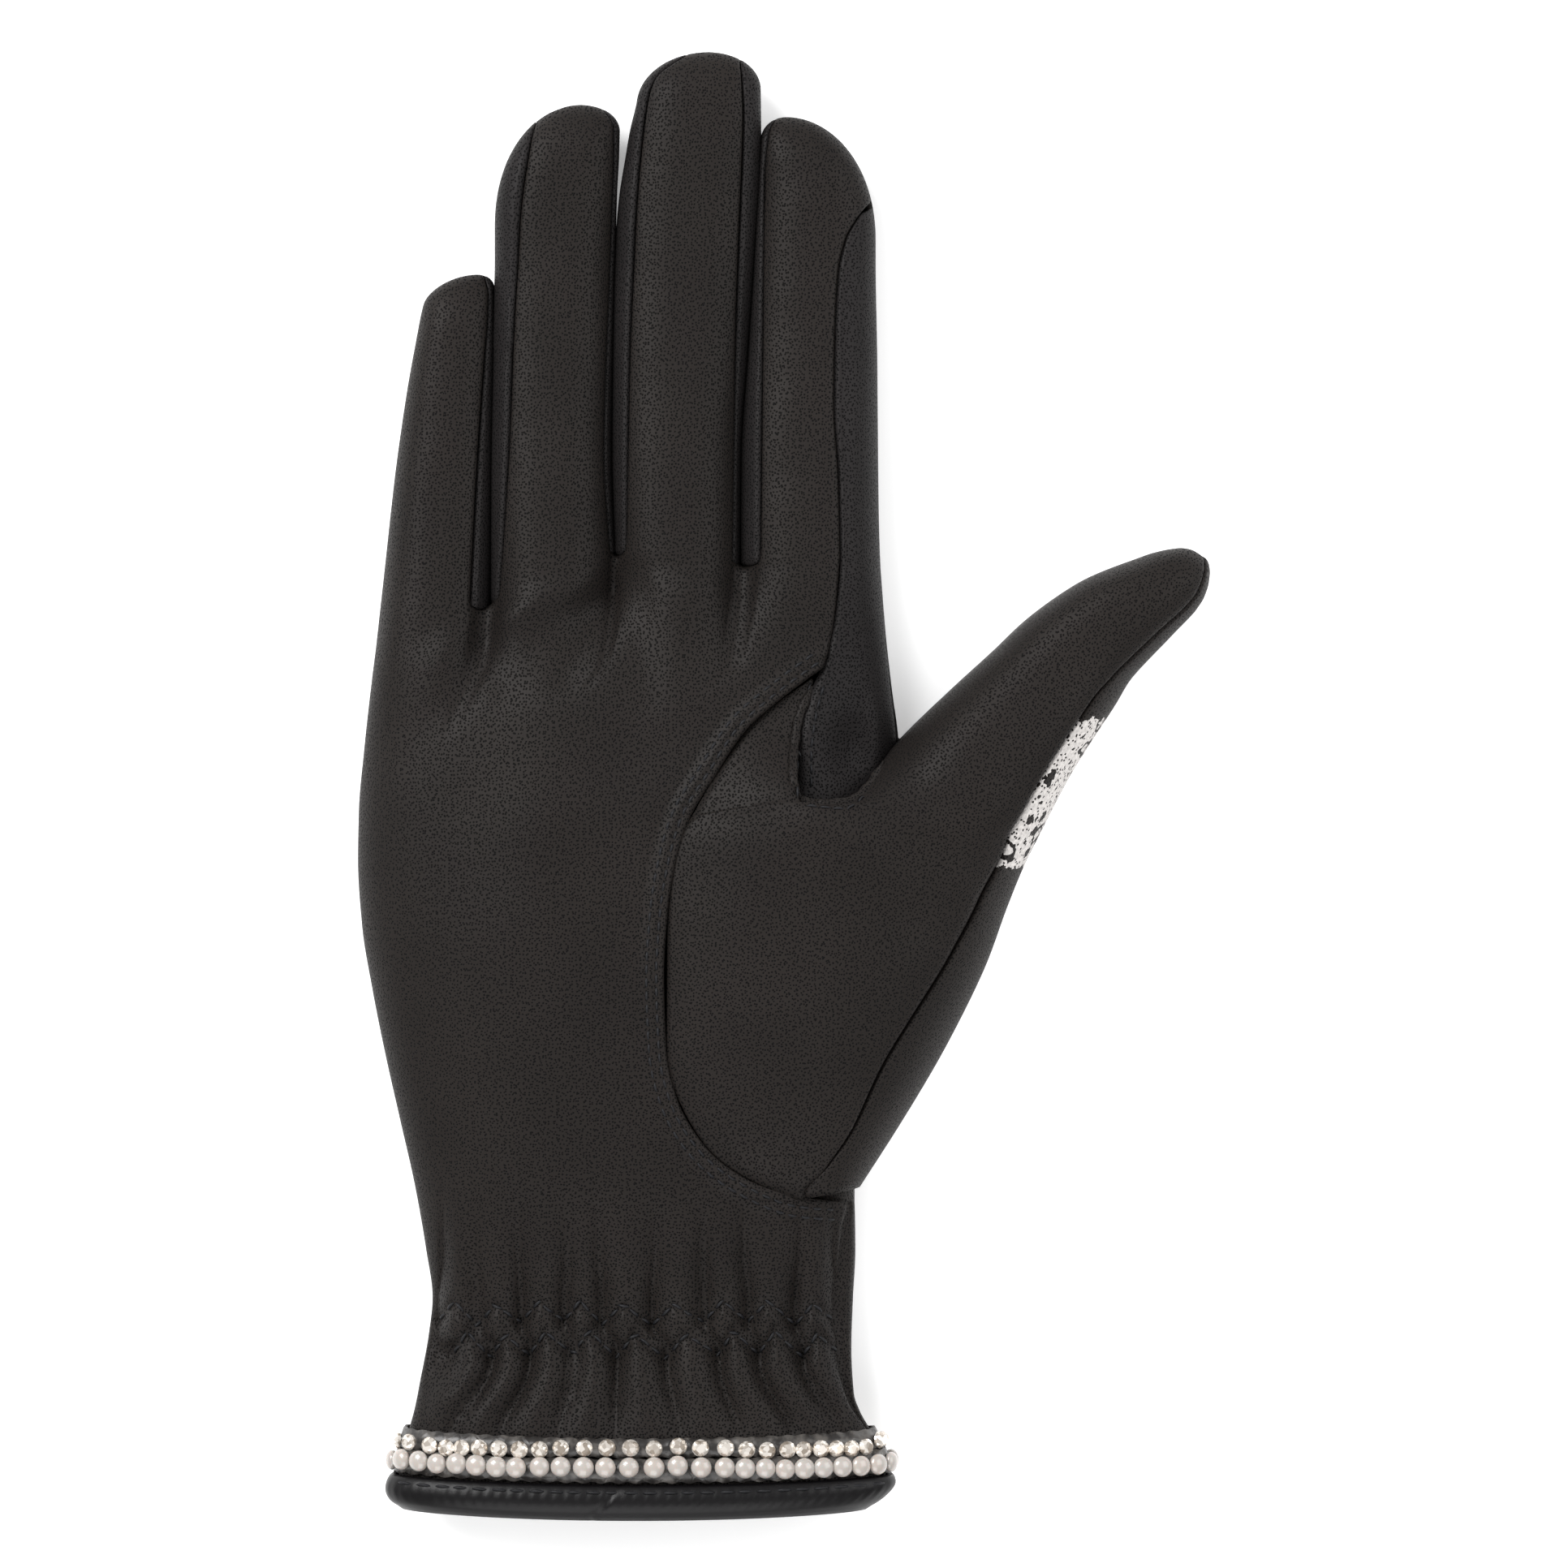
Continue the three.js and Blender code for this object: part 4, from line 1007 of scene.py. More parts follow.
    def gather_lift(self, px: np.ndarray, py: np.ndarray) -> np.ndarray:
        """Millimetres that the gathers add.

        Between two valleys the leather puffs by the sine of the share of the way; the valleys' places move
        from the upper row to the lower row and fan out to the trim. The stitch rows press zigzag grooves.

        Args:
            px: Places across.
            py: Places down.

        Returns:
            The lift.
        """
        count = np.arange(len(self.upper_valleys), dtype=float)
        upper = np.interp(px, self.upper_valleys, count)
        lower = np.interp(px, self.lower_valleys, count)
        rim = np.interp(px, self.rim_valleys, count)
        down = ease((py - 1632) / 26)
        out = ease((py - 1672) / 95)
        swayed = upper + 0.12 * np.sin(px / 23.0) * ease((1600 - py) / 60)
        phase = swayed * (1 - down) + down * (lower * (1 - out) + rim * out)
        puff = np.abs(np.sin(math.pi * phase)) ** 0.75 - 0.62
        high = flow(py, self.puffs)
        inside = ease((px - 520) / 25) * ease((1050 - px) / 25)
        groove = np.zeros_like(puff)
        for path in self.zigzags():
            points = np.asarray(path)
            groove += np.exp(-((distance_to(px, py, points) / 6.0) ** 2))
        return inside * (high * puff - 0.95 * np.clip(groove, 0, 1))

    def zigzags(self) -> tuple[list[tuple[float, float]], list[tuple[float, float]]]:
        """The two zigzag stitch lines in pixels: valleys at their low points, peaks half way between."""
        def line(
            valleys: tuple[float, ...], low: float, high: float, lean: float
        ) -> list[tuple[float, float]]:
            places: list[tuple[float, float]] = []
            for k, (x, after) in enumerate(zip(valleys[:-1], valleys[1:])):
                sway = 3.0 * math.sin(1.7 * k)
                places.append((x, low + sway))
                places.append((x + lean * (after - x), high + sway))
            return places + [(valleys[-1], low)]

        return line(self.upper_valleys, 1628, 1601, 0.42), line(self.lower_valleys, 1668, 1638, 0.36)


PALM = PalmForm()
CRYSTAL_PLACES = (
    (505, 1777), (530, 1781), (552, 1784), (569, 1784), (591, 1784), (615, 1785), (640, 1786),
    (665, 1786), (691, 1784), (720, 1784), (748, 1784), (777, 1784), (806, 1785), (836, 1782),
    (863, 1784), (894, 1784), (920, 1786), (945, 1787), (970, 1786), (990, 1786), (1011, 1785),
    (1030, 1785), (1047, 1785), (1066, 1783), (1082, 1774),
)
PEARL_PLACES = (
    (497, 1798), (518, 1800), (539, 1803), (563, 1803), (587, 1805), (612, 1807), (636, 1808),
    (665, 1807), (691, 1807), (719, 1808), (746, 1808), (775, 1808), (806, 1808), (835, 1806),
    (864, 1808), (893, 1808), (918, 1809), (943, 1809), (967, 1810), (990, 1809), (1010, 1808),
    (1028, 1807), (1045, 1806), (1062, 1804), (1077, 1801), (1088, 1798),
)
FINGERS = (LITTLE, RING, MIDDLE, INDEX)
INSET_SEAM = (
    (1016, 824), (1000, 835), (960, 865), (920, 900), (880, 960), (850, 1010), (835, 1060), (825, 1120),
    (820, 1200), (823, 1290), (836, 1350), (872, 1410), (925, 1450), (985, 1474), (1046, 1480),
)
BINDING_LEFT = ((1823, 475), (1842, 475.5), (1855, 478), (1868, 488))
BINDING_RIGHT = ((1823, 1108), (1834, 1105), (1850, 1093), (1868, 1076))
CRYSTAL_ROW, PEARL_ROW = 1783, 1807  # py of the loops that the stones sit on
BINDING_STITCHES = 1832.0  # py of the stitches on the binding
PRINT_LOW, PRINT_HIGH = 1068, 887  # py between which the thumb's back is printed
CROSS_SEAM = 426.0  # py of the seam across the ring finger's left strip
GRAIN = -0.75  # radians that the thumb's leather is turned by
ROOT_FADE = 175.0  # pixels below a crotch over which the fingers' roundness fades into the palm


@dataclass
class PalmAndBack:
    """The palm leather with the finger fronts, and the back leather with the finger backs.

    Attributes:
        rows_palm: Rows of points from the fingers' roots to the rim.
        rows_finger: Rows of points along a finger.
        bridge: Points between two fingers, at their crotch.
        meshes: The finished pieces by name.
    """

    rows_palm: int = 250
    rows_finger: int = 96
    bridge: int = 7
    meshes: dict[str, bpy.types.Object] = field(default_factory=dict)

    def root_columns(self, front: bool) -> tuple[np.ndarray, list[slice]]:
        """Points of the row where the fingers start, with the crotch bridges between them.

        Args:
            front: True for the palm side, False for the back.

        Returns:
            An (n, 3) array of (px, py, height) and each finger's slice of it.
        """
        parts: list[np.ndarray] = []
        slices: list[slice] = []
        for finger in FINGERS:
            share = np.linspace(0, 1, finger.columns)
            py = finger.roots[0] + (finger.roots[1] - finger.roots[0]) * share
            place = self.finger_points(finger, py, share, front)
            part = np.column_stack([place[:, 0] / PIXEL + MIDDLE_PX, py, place[:, 2]])
            if parts:
                before = parts[-1][-1]
                t = np.linspace(0, 1, self.bridge + 2)[1:-1, None]
                bow = 4 * t * (1 - t)
                drop = np.array([0.0, 9.0, -1.2 if front else 0.6])
                parts.append(before + (part[0] - before) * t + bow * drop)
            first = sum(len(p) for p in parts)
            slices.append(slice(first, first + len(part)))
            parts.append(part)
        return np.concatenate(parts), slices

    def finger_points(self, finger: Finger, py: np.ndarray, share: np.ndarray, front: bool) -> np.ndarray:
        """Points of a finger's front or back leather at shares of the way across."""
        start, end = finger.turns(py)
        turn = start + (end - start) * share if front else 2 * math.pi - math.pi * share
        return finger.surface(py, turn)

    def body(self, front: bool, edge: tuple[tuple[float, float], ...]) -> np.ndarray:
        """Grid of the palm or the back, from the finger roots down to the rim.

        A column keeps its share of the way from the left side to the right edge. The root row's difference
        from the plain section fades out over ROOT_FADE pixels. Columns are kept in order everywhere.

        Args:
            front: True for the palm side.
            edge: Right edge as (py, px) rows.

        Returns:
            The grid, first row at the fingers.
        """
        root, _ = self.root_columns(front)
        step = COLUMN_GAP * np.arange(len(root))
        root = np.column_stack([np.maximum.accumulate(root[:, 0] - step) + step, root[:, 1:]])
        height = PALM.front_height if front else PALM.back_height
        t = np.linspace(0, 1, self.rows_palm)[:, None]
        py = root[:, 1] + (RIM_ROW - root[:, 1]) * t
        left0, edge0 = flow(root[:, 1], PALM.left), flow(root[:, 1], edge)
        share = np.clip((root[:, 0] - left0) / (edge0 - left0), 0, 1)
        step = SHARE_GAP * np.arange(len(root))
        share = np.minimum(np.maximum.accumulate(share - step) + step, 0.9999)
        near = np.linspace(0, 1, EDGE_COLUMNS) ** 1.5
        share[:EDGE_COLUMNS] = share[EDGE_COLUMNS - 1] * near
        share[-EDGE_COLUMNS:] = 1 - (1 - share[-EDGE_COLUMNS]) * near[::-1]
        left, right = flow(py, PALM.left), flow(py, edge)
        fade = 1 - ease((py - root[:, 1]) / ROOT_FADE)
        px = left + share * (right - left)
        px = px + fade * (root[:, 0] - (left0 + share * (edge0 - left0)))
        z = height(py, px) + fade * (root[:, 2] - height(root[:, 1], root[:, 0]))
        if front:
            down = ease((py - root[:, 1]) / 55)
            z = z + down * PALM.fold_lift(px, py) * np.sin(PALM.turn_at(py, px)) + PALM.gather_lift(px, py)
            seam = smooth_path(INSET_SEAM, 6.0)
            gap = distance_to(px, py, seam) * PIXEL
            z = z + 0.75 * (1 - ease((gap - 2.6) / 1.5)) - 0.32 * np.exp(-(((gap - 1.3) / 0.35) ** 2))
            z = z - 0.32 * np.exp(-(((gap - 2.9) / 0.35) ** 2))
        calm = np.clip(np.sin(PALM.turn_at(py, px)), 0, 1)
        z = z + 0.16 * ripple(across(px), upward(py), 15, 3) * calm * (1 if front else 0.5)
        grid = points_at(px, py, z)
        grid[..., 1] += cuff_bow(px) * ease((py - BOW_FROM) / BOW_OVER)
        return grid

    def finger_grid(self, k: int, front: bool) -> np.ndarray:
        """Grid of one finger's front or back, first row at its root, closing at its tip by a sine's pace."""
        finger = FINGERS[k]
        share = np.linspace(0, 1, finger.columns)
        root = finger.roots[0] + (finger.roots[1] - finger.roots[0]) * share
        w = np.sin(0.5 * math.pi * np.linspace(0, 1, self.rows_finger))[:, None]
        py = root + (finger.tip[1] - root) * w
        grid = self.finger_points(finger, py, np.broadcast_to(share, py.shape), front)
        from_tip = py - finger.tip[1]
        calm = ease(from_tip / 60) * ease((root - py) / 40)
        grid[..., 2] += 0.14 * calm * ripple(grid[..., 0], grid[..., 1], 11, 11 + k) * (1 if front else 0.4)
        return grid

    def build(self, leather: bpy.types.Material) -> None:
        """Builds both pieces and dresses them."""
        palm = self.body(True, PALM.edge)
        _, slices = self.root_columns(True)
        grids = [self.roll_body(palm, slices)] + [self.rolled_finger(k, True) for k in range(len(FINGERS))]
        for k, part in enumerate(slices):
            grids[k + 1][0] = grids[0][0, part]
        piece = sew_grids("palm_leather", grids, UP, self.flats(grids, slices))
        thicken(piece)
        self.meshes["palm"] = finish_piece(piece, leather, Slot.LEATHER, "palm_panel")
        back = self.body(False, PALM.back_edge)
        _, slices = self.root_columns(False)
        grids = [back] + [self.rolled_finger(k, False) for k in range(len(FINGERS))]
        for k, part in enumerate(slices):
            grids[k + 1][0] = grids[0][0, part]
        piece = sew_grids("back_leather", grids, DOWN, self.flats(grids, slices))
        thicken(piece)
        self.meshes["back"] = finish_piece(piece, leather, Slot.LEATHER, "back_panel")
        flap = sew_grids("back_wrist_leather", [self.wrist_flap()], UP)
        thicken(flap)
        self.meshes["flap"] = finish_piece(flap, leather, Slot.LEATHER)

    def wrist_flap(self) -> np.ndarray:
        """The back leather's edge, brought round the wrist's side on to the palm, under the palm's fold."""
        py = np.linspace(1440.0, RIM_ROW, 110)[:, None]
        right, fold = flow(py, PALM.right), flow(py, PALM.edge)
        px = right + (np.minimum(fold, right - 6) - 16 - right) * np.linspace(0, 1, 16) ** 1.4
        under = ease((right - px) / np.maximum(right - fold, 8))
        z = PALM.front_height(py, px) - 1.25 * under + 0.12 * ripple(across(px), upward(py), 9, 8)
        grid = points_at(px, py, z)
        grid[..., 1] += cuff_bow(px) * ease((py - BOW_FROM) / BOW_OVER)
        return grid

    def rolled_finger(self, k: int, front: bool) -> np.ndarray:
        """A finger's front or back with its seams rolled in; an edge with no seam stays as it is."""
        finger = FINGERS[k]
        grid = self.finger_grid(k, front)
        sides = {}
        if finger.left_seam if front else k > 0:
            sides["left"] = SEAM_ROLL
        if finger.right_seam if front else k < 3:
            sides["right"] = SEAM_ROLL
        fade = ease(run_along(grid, "last") / 1.6)
        right_half = np.arange(grid.shape[1]) > grid.shape[1] // 2
        sewn = ease((RIM_PY - (grid[..., 1] + REST_UP) / PIXEL - finger.right_from) / 16)
        return rolled(grid, sides, UP if front else DOWN, fade * np.where(right_half, sewn, 1))

    def flats(self, grids: list[np.ndarray], slices: list[slice]) -> list[np.ndarray]:
        """Flat places of the body and the fingers, which run on from the body's first row."""
        body = flat_places(grids[0])
        made = [body]
        for grid, part in zip(grids[1:], slices):
            middle = (part.stop - part.start) // 2
            made.append(flat_places(grid, middle, body[0, part.start + middle, 0]))
        return made

    def roll_body(self, grid: np.ndarray, slices: list[slice]) -> np.ndarray:
        """Rolls the palm's right edge under, and its edge at each crotch."""
        made = rolled(grid, {"right": (1.1, 0.9)})
        near = 1 - np.clip(run_along(grid, "first") / 1.2, 0, 1)
        drop = 0.9 * (1 - np.sqrt(1 - near**2))
        crotch = np.ones(grid.shape[1], bool)
        for part in slices:
            crotch[part.start + 1:part.stop - 1] = False
        made[..., 2] -= drop * crotch
        return made


def cuff_bow(px: np.ndarray) -> np.ndarray:
    """How far the rim's ends rise over its middle, in millimetres: the square of the share across."""
    return 1.25 * ((px - 795) / 300) ** 2


@dataclass
class SidePanels:
    """The index side panel with its gusset, and the three fourchettes.

    Attributes:
        rows: Rows of points down a finger.
        columns: Points across a fourchette.
        index_top: py of the index side panel's upper end, at its outer side.
        index_slant: How many pixels lower that end is at its seam.
        seen_from: Millimetres of room beside the front leather, from which a fourchette starts.
    """

    rows: int = 120
    columns: int = 14
    index_top: float = 257.0
    index_slant: float = 9.0
    seen_from: float = 0.6

    def index_side(self, thumb: "Thumb", leather: bpy.types.Material) -> bpy.types.Object:
        """Strip from the index finger's seam to its outer side, running down into the gusset at the thumb.

        Rows run down the finger, then down the palm between the seam and the side, to the gusset's slanted
        end, and from there up to the thumb's leather.

        Args:
            thumb: The thumb that the gusset is sewn to.
            leather: Its material.

        Returns:
            The piece.
        """
        share = np.linspace(0, 1, self.columns + 6)
        top = self.index_top + self.index_slant * (1 - share) ** 2
        t = np.linspace(0, 1, self.rows)[:, None]
        root = INDEX.roots[1]
        py = top + (root - top) * t
        _, start = INDEX.turns(py)
        finger = INDEX.surface(py, start + (math.pi - start) * share)
        root_px = finger[-1, :, 0] / PIXEL + MIDDLE_PX
        low = 985.0 - 70.0 * ease((share - 0.45) / 0.55)
        py = root + (low - root) * t
        seam = ((700, 1036), (760, 1030), (822, 1014), (850, 1001), (900, 987), (985, 979))
        side = ((700, 1084), (780, 1090), (840, 1096), (915, 1104), (985, 1106))
        left, right = flow(py, seam), flow(py, side)
        root_share = (root_px - flow(root, seam)) / (flow(root, side) - flow(root, seam))
        px = left + (right - left) * root_share
        fade = 1 - ease((py - root) / ROOT_FADE)
        z = PALM.front_height(py, px) + fade * (finger[-1, :, 2] - PALM.front_height(root, root_px))
        dent = np.exp(-(((px - 1050) / 34) ** 2 + ((py - 925) / 42) ** 2))
        z = z - 2.6 * dent + 0.7 * np.exp(-(((px - 1078) / 9) ** 2 + ((py - 905) / 40) ** 2))
        palm = points_at(px, py, z)
        thumb_edge = thumb.gusset_edge(len(share)) - np.array([0.0, 0.0, 0.7])
        rise = np.linspace(0, 1, 9)[1:, None, None]
        turned_up = palm[-1] + (thumb_edge - palm[-1]) * rise
        turned_up[..., 2] -= 0.8 * np.sin(math.pi * rise[..., 0])
        grid = np.concatenate([finger, palm[1:], turned_up])
        grid = rolled(grid, {"left": (0.8, 0.6)})
        piece = sew_grids("index_side_leather", [grid])
        thicken(piece)
        return finish_piece(piece, leather, Slot.SIDE_LEATHER, "index_side_panel")

    def fourchette(self, k: int, leather: bpy.types.Material) -> bpy.types.Object:
        """Strip down the right side of finger k, round the crotch and up the left side of finger k + 1.

        Args:
            k: Which pair of fingers.
            leather: Its material.

        Returns:
            The piece.
        """
        first, second = FINGERS[k], FINGERS[k + 1]
        across_strip = np.linspace(0, 1, self.columns)
        pace = np.sin(0.5 * math.pi * np.linspace(1, 0, self.rows))[:, None]

        def strip(finger: Finger, root: float, right: bool) -> np.ndarray:
            trial = finger.tip[1] + np.linspace(1, 160, 320)
            seam = finger.turns(trial)[1 if right else 0]
            side = np.full_like(trial, math.pi if right else 0)
            gap = finger.surface(trial, seam) - finger.surface(trial, side)
            top = trial[int(np.argmax(np.linalg.norm(gap, axis=-1) > self.seen_from))]
            py = np.broadcast_to(root + (top - root) * pace, (self.rows, self.columns))
            start, end = finger.turns(py)
            edge = end if right else start
            turn = edge + ((math.pi if right else 0.0) - edge) * across_strip
            grid = finger.surface(py, turn)
            if k == 0 and not right:
                grid[..., 2] += 0.4 * (1 - ease((py - CROSS_SEAM) / 7))
            bulge = 0.5 * np.sin(math.pi * across_strip) * ease((py - finger.tip[1]) / 90)
            return grid + bulge[..., None] * np.array([0.35 if right else -0.35, 0, 0.6])

        down = strip(first, first.roots[1] + 4, True)
        up = strip(second, second.roots[0] + 4, False)[::-1]
        t = np.linspace(0, 1, 12)[1:-1, None, None]
        turn = down[-1] + (up[0] - down[-1]) * t
        turn = turn + 4 * t * (1 - t) * np.array([0, -1.3, -3.4])
        grid = np.concatenate([down, turn, up])
        outward = (1.0, 0.0, 0.3)
        sign = facing(down, outward)
        keep = ease(np.minimum(run_along(grid, "first"), run_along(grid, "last")) / 4)
        if facing(grid, outward) != sign:
            outward = (-1.0, 0.0, -0.3)
        grid = rolled(grid, {"left": SEAM_ROLL}, outward, keep)
        name = ("little_ring", "ring_middle", "middle_index")[k]
        piece = sew_grids(f"fourchette_{name}_leather", [grid], sign=sign)
        thicken(piece, 0.9)
        return finish_piece(piece, leather, Slot.SIDE_LEATHER, f"fourchette_{name}")


@dataclass
class Thumb:
    """Ball and front of the thumb, and its outer side and back.

    Attributes:
        chords: Rows of (left px, left py, right px, right py, seam share, start share, top, side, bottom):
            the thumb's sections from its foot to its tip. The seam share is where front and back leather
            meet, the start share where in the soft section the left end stands, and the last three are
            heights.
        rows: Rows of points along the thumb.
        columns: Points across its front.
        meshes: The finished pieces by name.
    """

    chords: tuple[tuple[float, ...], ...] = (
        (985, 1475, 1060, 1461, 0.06, 0.24, 17.5, 8.0, 2.0),
        (925, 1450, 1084, 1424, 0.59, 0.20, 20.0, 8.0, 1.2),
        (872, 1410, 1112, 1380, 0.75, 0.17, 22.0, 7.8, 0.9),
        (823, 1290, 1164, 1292, 0.81, 0.15, 24.2, 7.6, 0.8),
        (824, 1120, 1216, 1186, 0.885, 0.15, 25.4, 7.6, 0.8),
        (851, 1010, 1240, 1120, 0.915, 0.15, 25.4, 7.6, 0.9),
        (984, 988, 1262, 1066, 0.9, 0.33, 25.0, 7.8, 1.0),
        (1045, 986, 1284, 1022, 0.86, 0.2, 24.2, 7.8, 1.0),
        (1104, 915, 1319, 955, 0.86, 0.0, 22.6, 7.8, 1.0),
        (1175, 846, 1375, 867, 0.85, 0.0, 20.4, 8.0, 1.4),
        (1222, 803, 1391, 840, 0.875, 0.0, 19.4, 8.2, 1.8),
        (1268, 760, 1440, 787, 0.895, 0.0, 18.6, 8.4, 2.2),
        (1338, 713, 1473, 752, 0.91, 0.0, 17.6, 8.8, 3.2),
        (1393, 691, 1483, 736, 0.9, 0.0, 16.6, 8.9, 3.9),
        (1422, 681, 1488.5, 719, 0.885, 0.0, 15.4, 9.0, 4.8),
        (1441, 677, 1490, 706, 0.87, 0.0, 14.0, 9.1, 5.8),
        (1454, 675.6, 1489, 697, 0.85, 0.0, 12.6, 9.15, 6.8),
        (1466, 677.5, 1486, 690, 0.8, 0.0, 11.2, 9.2, 7.8),
        (1475, 682, 1480, 685.5, 0.6, 0.0, 9.4, 9.2, 9.0),
    )
    rows: int = 190
    columns: int = 60
    meshes: dict[str, bpy.types.Object] = field(default_factory=dict)

    def sections(self) -> np.ndarray:
        """The chords' columns at every row; the pace slows to the tip like a sine."""
        table = np.asarray(self.chords)
        indexed = np.column_stack([np.arange(len(table)), table])
        at = (len(table) - 1) * np.sin(0.5 * math.pi * np.linspace(0, 1, self.rows) ** 0.92)
        return np.stack([flow(at, indexed, c + 1) for c in range(table.shape[1])], axis=1)

    def surface(self, share: np.ndarray, under: bool = False) -> np.ndarray:
        """Points at shares across each section: a soft hump from end to end, or flat underneath."""
        table = self.sections()[:, :, None]
        lx, ly, rx, ry, _, start, top, side, bottom = (table[:, c] for c in range(9))
        px = lx + (rx - lx) * share
        py = ly + (ry - ly) * share
        a = 2 * (start + (1 - start) * share) - 1
        hump = np.sqrt(np.clip(1 - np.abs(a) ** (2 / BOXY), 0, 1))
        z = side - (side - bottom) * hump**0.45 if under else side + (top - side) * hump**0.95
        return points_at(px, py, z)

    def gusset_edge(self, count: int) -> np.ndarray:
        """Even points along the front leather's left edge from the gusset's corner to the thumb's crotch."""
        edge = self.surface(np.zeros((self.rows, 1)))[:, 0]
        part = edge[nearest(edge, GUSSET_CORNER):nearest(edge, CROTCH_CORNER) + 1]
        run = arc_length(part)
        return along(part, run, np.linspace(0, run[-1], count))

    def build(self, leather: bpy.types.Material, printed: bpy.types.Material) -> None:
        """Builds the front with the wedge above the gusset's corner, and the back with its print."""
        table = self.sections()
        seam = table[:, 4:5]
        u = np.linspace(0, 1, self.columns)
        front = self.surface(seam * u)
        x, y = front[..., 0], front[..., 1]
        calm = ease(u / 0.08) * ease((1 - u) / 0.06)
        front[..., 2] += calm * (0.28 * ripple(x, y, 19, 5) + self.wrinkles(x, y))
        front = rolled(front, {"right": (0.9, 0.8)}, keep=ease(run_along(front, "last") / 1.6))
        wedge = self.wedge(front)
        piece = sew_grids("thumb_front_leather", [front, wedge], UP, self.flats(front, wedge))
        thicken(piece)
        self.meshes["front"] = finish_piece(piece, leather, Slot.LEATHER, "thumb_palm_panel")
        v = np.linspace(0, 1, 26)
        top = self.surface(1 - (1 - seam) * (1 - v) ** 1.6)
        floor_left = np.clip((1052 - table[:, 0:1]) / (table[:, 2:3] - table[:, 0:1]), 0, 0.9)
        w = np.linspace(0, 1, 44)[1:]
        under = self.surface(1 - (1 - floor_left) * w**1.5, under=True)
        grid = np.concatenate([top, under], axis=1)
        outward = (0.7, -0.7, 0.0)
        grid = rolled(grid, {"left": (0.7, 0.7)}, outward, ease(run_along(grid, "last") / 1.6))
        piece = sew_grids("thumb_back_leather", [grid], outward, [flat_places(grid, turn=GRAIN)])
        thicken(piece)
        self.meshes["back"] = finish_piece(piece, printed, Slot.FOIL, "thumb_back_panel")

    def wrinkles(self, x: np.ndarray, y: np.ndarray) -> np.ndarray:
        """A few soft wrinkles across the ball of the thumb: bells across short lines."""
        lines = (
            (880, 1000, 960, 1010, 24, -0.15), (1000, 1010, 1060, 1040, 22, 0.7),
            (1110, 940, 1180, 1000, 26, -0.5),
        )
        lift = np.zeros_like(x)
        for x0, y0, x1, y1, width, height in lines:
            path = np.array([[float(across(x0)), float(upward(y0))], [float(across(x1)), float(upward(y1))]])
            lift += height * np.exp(-((distance_to(x, y, path) / (width * PIXEL)) ** 2))
        return lift

    def flats(self, front: np.ndarray, wedge: np.ndarray) -> list[np.ndarray]:
        """Flat places of the front and of the wedge, which runs on from the front's left edge."""
        flat = flat_places(front, turn=GRAIN)
        low = int(np.argmin(np.linalg.norm(front[:, 0] - wedge[0, 0], axis=1)))
        away = wedge - wedge[:1]
        return [flat, flat[low:low + wedge.shape[1], 0] + np.stack(turned(away, GRAIN), axis=-1)]

    def wedge(self, front: np.ndarray) -> np.ndarray:
        """Corner of the ball between the thumb seam and the gusset, narrowing up to where they meet.

        Its first row is the front's left edge between the two places; rows above run from the thumb seam to
        the gusset's seam, and their height goes over to the palm's.

        Args:
            front: The front's grid.

        Returns:
            The wedge's grid.
        """
        edge = front[:, 0]
        base = edge[nearest(edge, THUMB_CORNER):nearest(edge, GUSSET_CORNER) + 1]
        t = np.linspace(0, 1, 44)[:, None]
        left = smooth_path((THUMB_CORNER, (880, 960), (920, 900), (960, 865), (1000, 837)), 1.0)
        right = smooth_path((GUSSET_CORNER, (982, 940), (990, 890), (1002, 840)), 1.0)
        lx, ly = along(left, np.linspace(0, 1, len(left)), t[:, 0]).T
        rx, ry = along(right, np.linspace(0, 1, len(right)), t[:, 0]).T
        run = np.linspace(0, 1, len(base))[None, :]
        px = lx[:, None] + (rx - lx)[:, None] * run
        py = ly[:, None] + (ry - ly)[:, None] * run
        inside = PALM.front_height(py, px) - 0.9 + 0.8 * np.sin(math.pi * run) * (1 - t)
        z = base[:, 2] * (1 - ease(t / 0.6)) + inside * ease(t / 0.6)
        grid = points_at(px, py, z)
        grid[0] = base
        return grid


class Surface:
    """Finds the height and normal of finished leather under a place, by rays from above."""

    def __init__(self, pieces: list[bpy.types.Object]) -> None:
        """Collects the pieces' faces into one tree."""
        points: list = []
        faces: list = []
        for piece in pieces:
            first = len(points)
            points += [v.co.copy() for v in piece.data.vertices]
            faces += [[first + k for k in face.vertices] for face in piece.data.polygons]
        self.tree = BVHTree.FromPolygons(points, faces)

    def drop(self, x: float, y: float) -> tuple[np.ndarray, np.ndarray] | None:
        """Point and upward normal, in millimetres, of the top surface at a place, or None outside it."""
        place, normal, _, _ = self.tree.ray_cast(Vector((x * MM, y * MM, 0.2)), Vector((0, 0, -1)))
        if place is None:
            return None
        facing = np.array(normal) * (1 if normal.z > 0 else -1)
        return np.array(place) / MM, facing


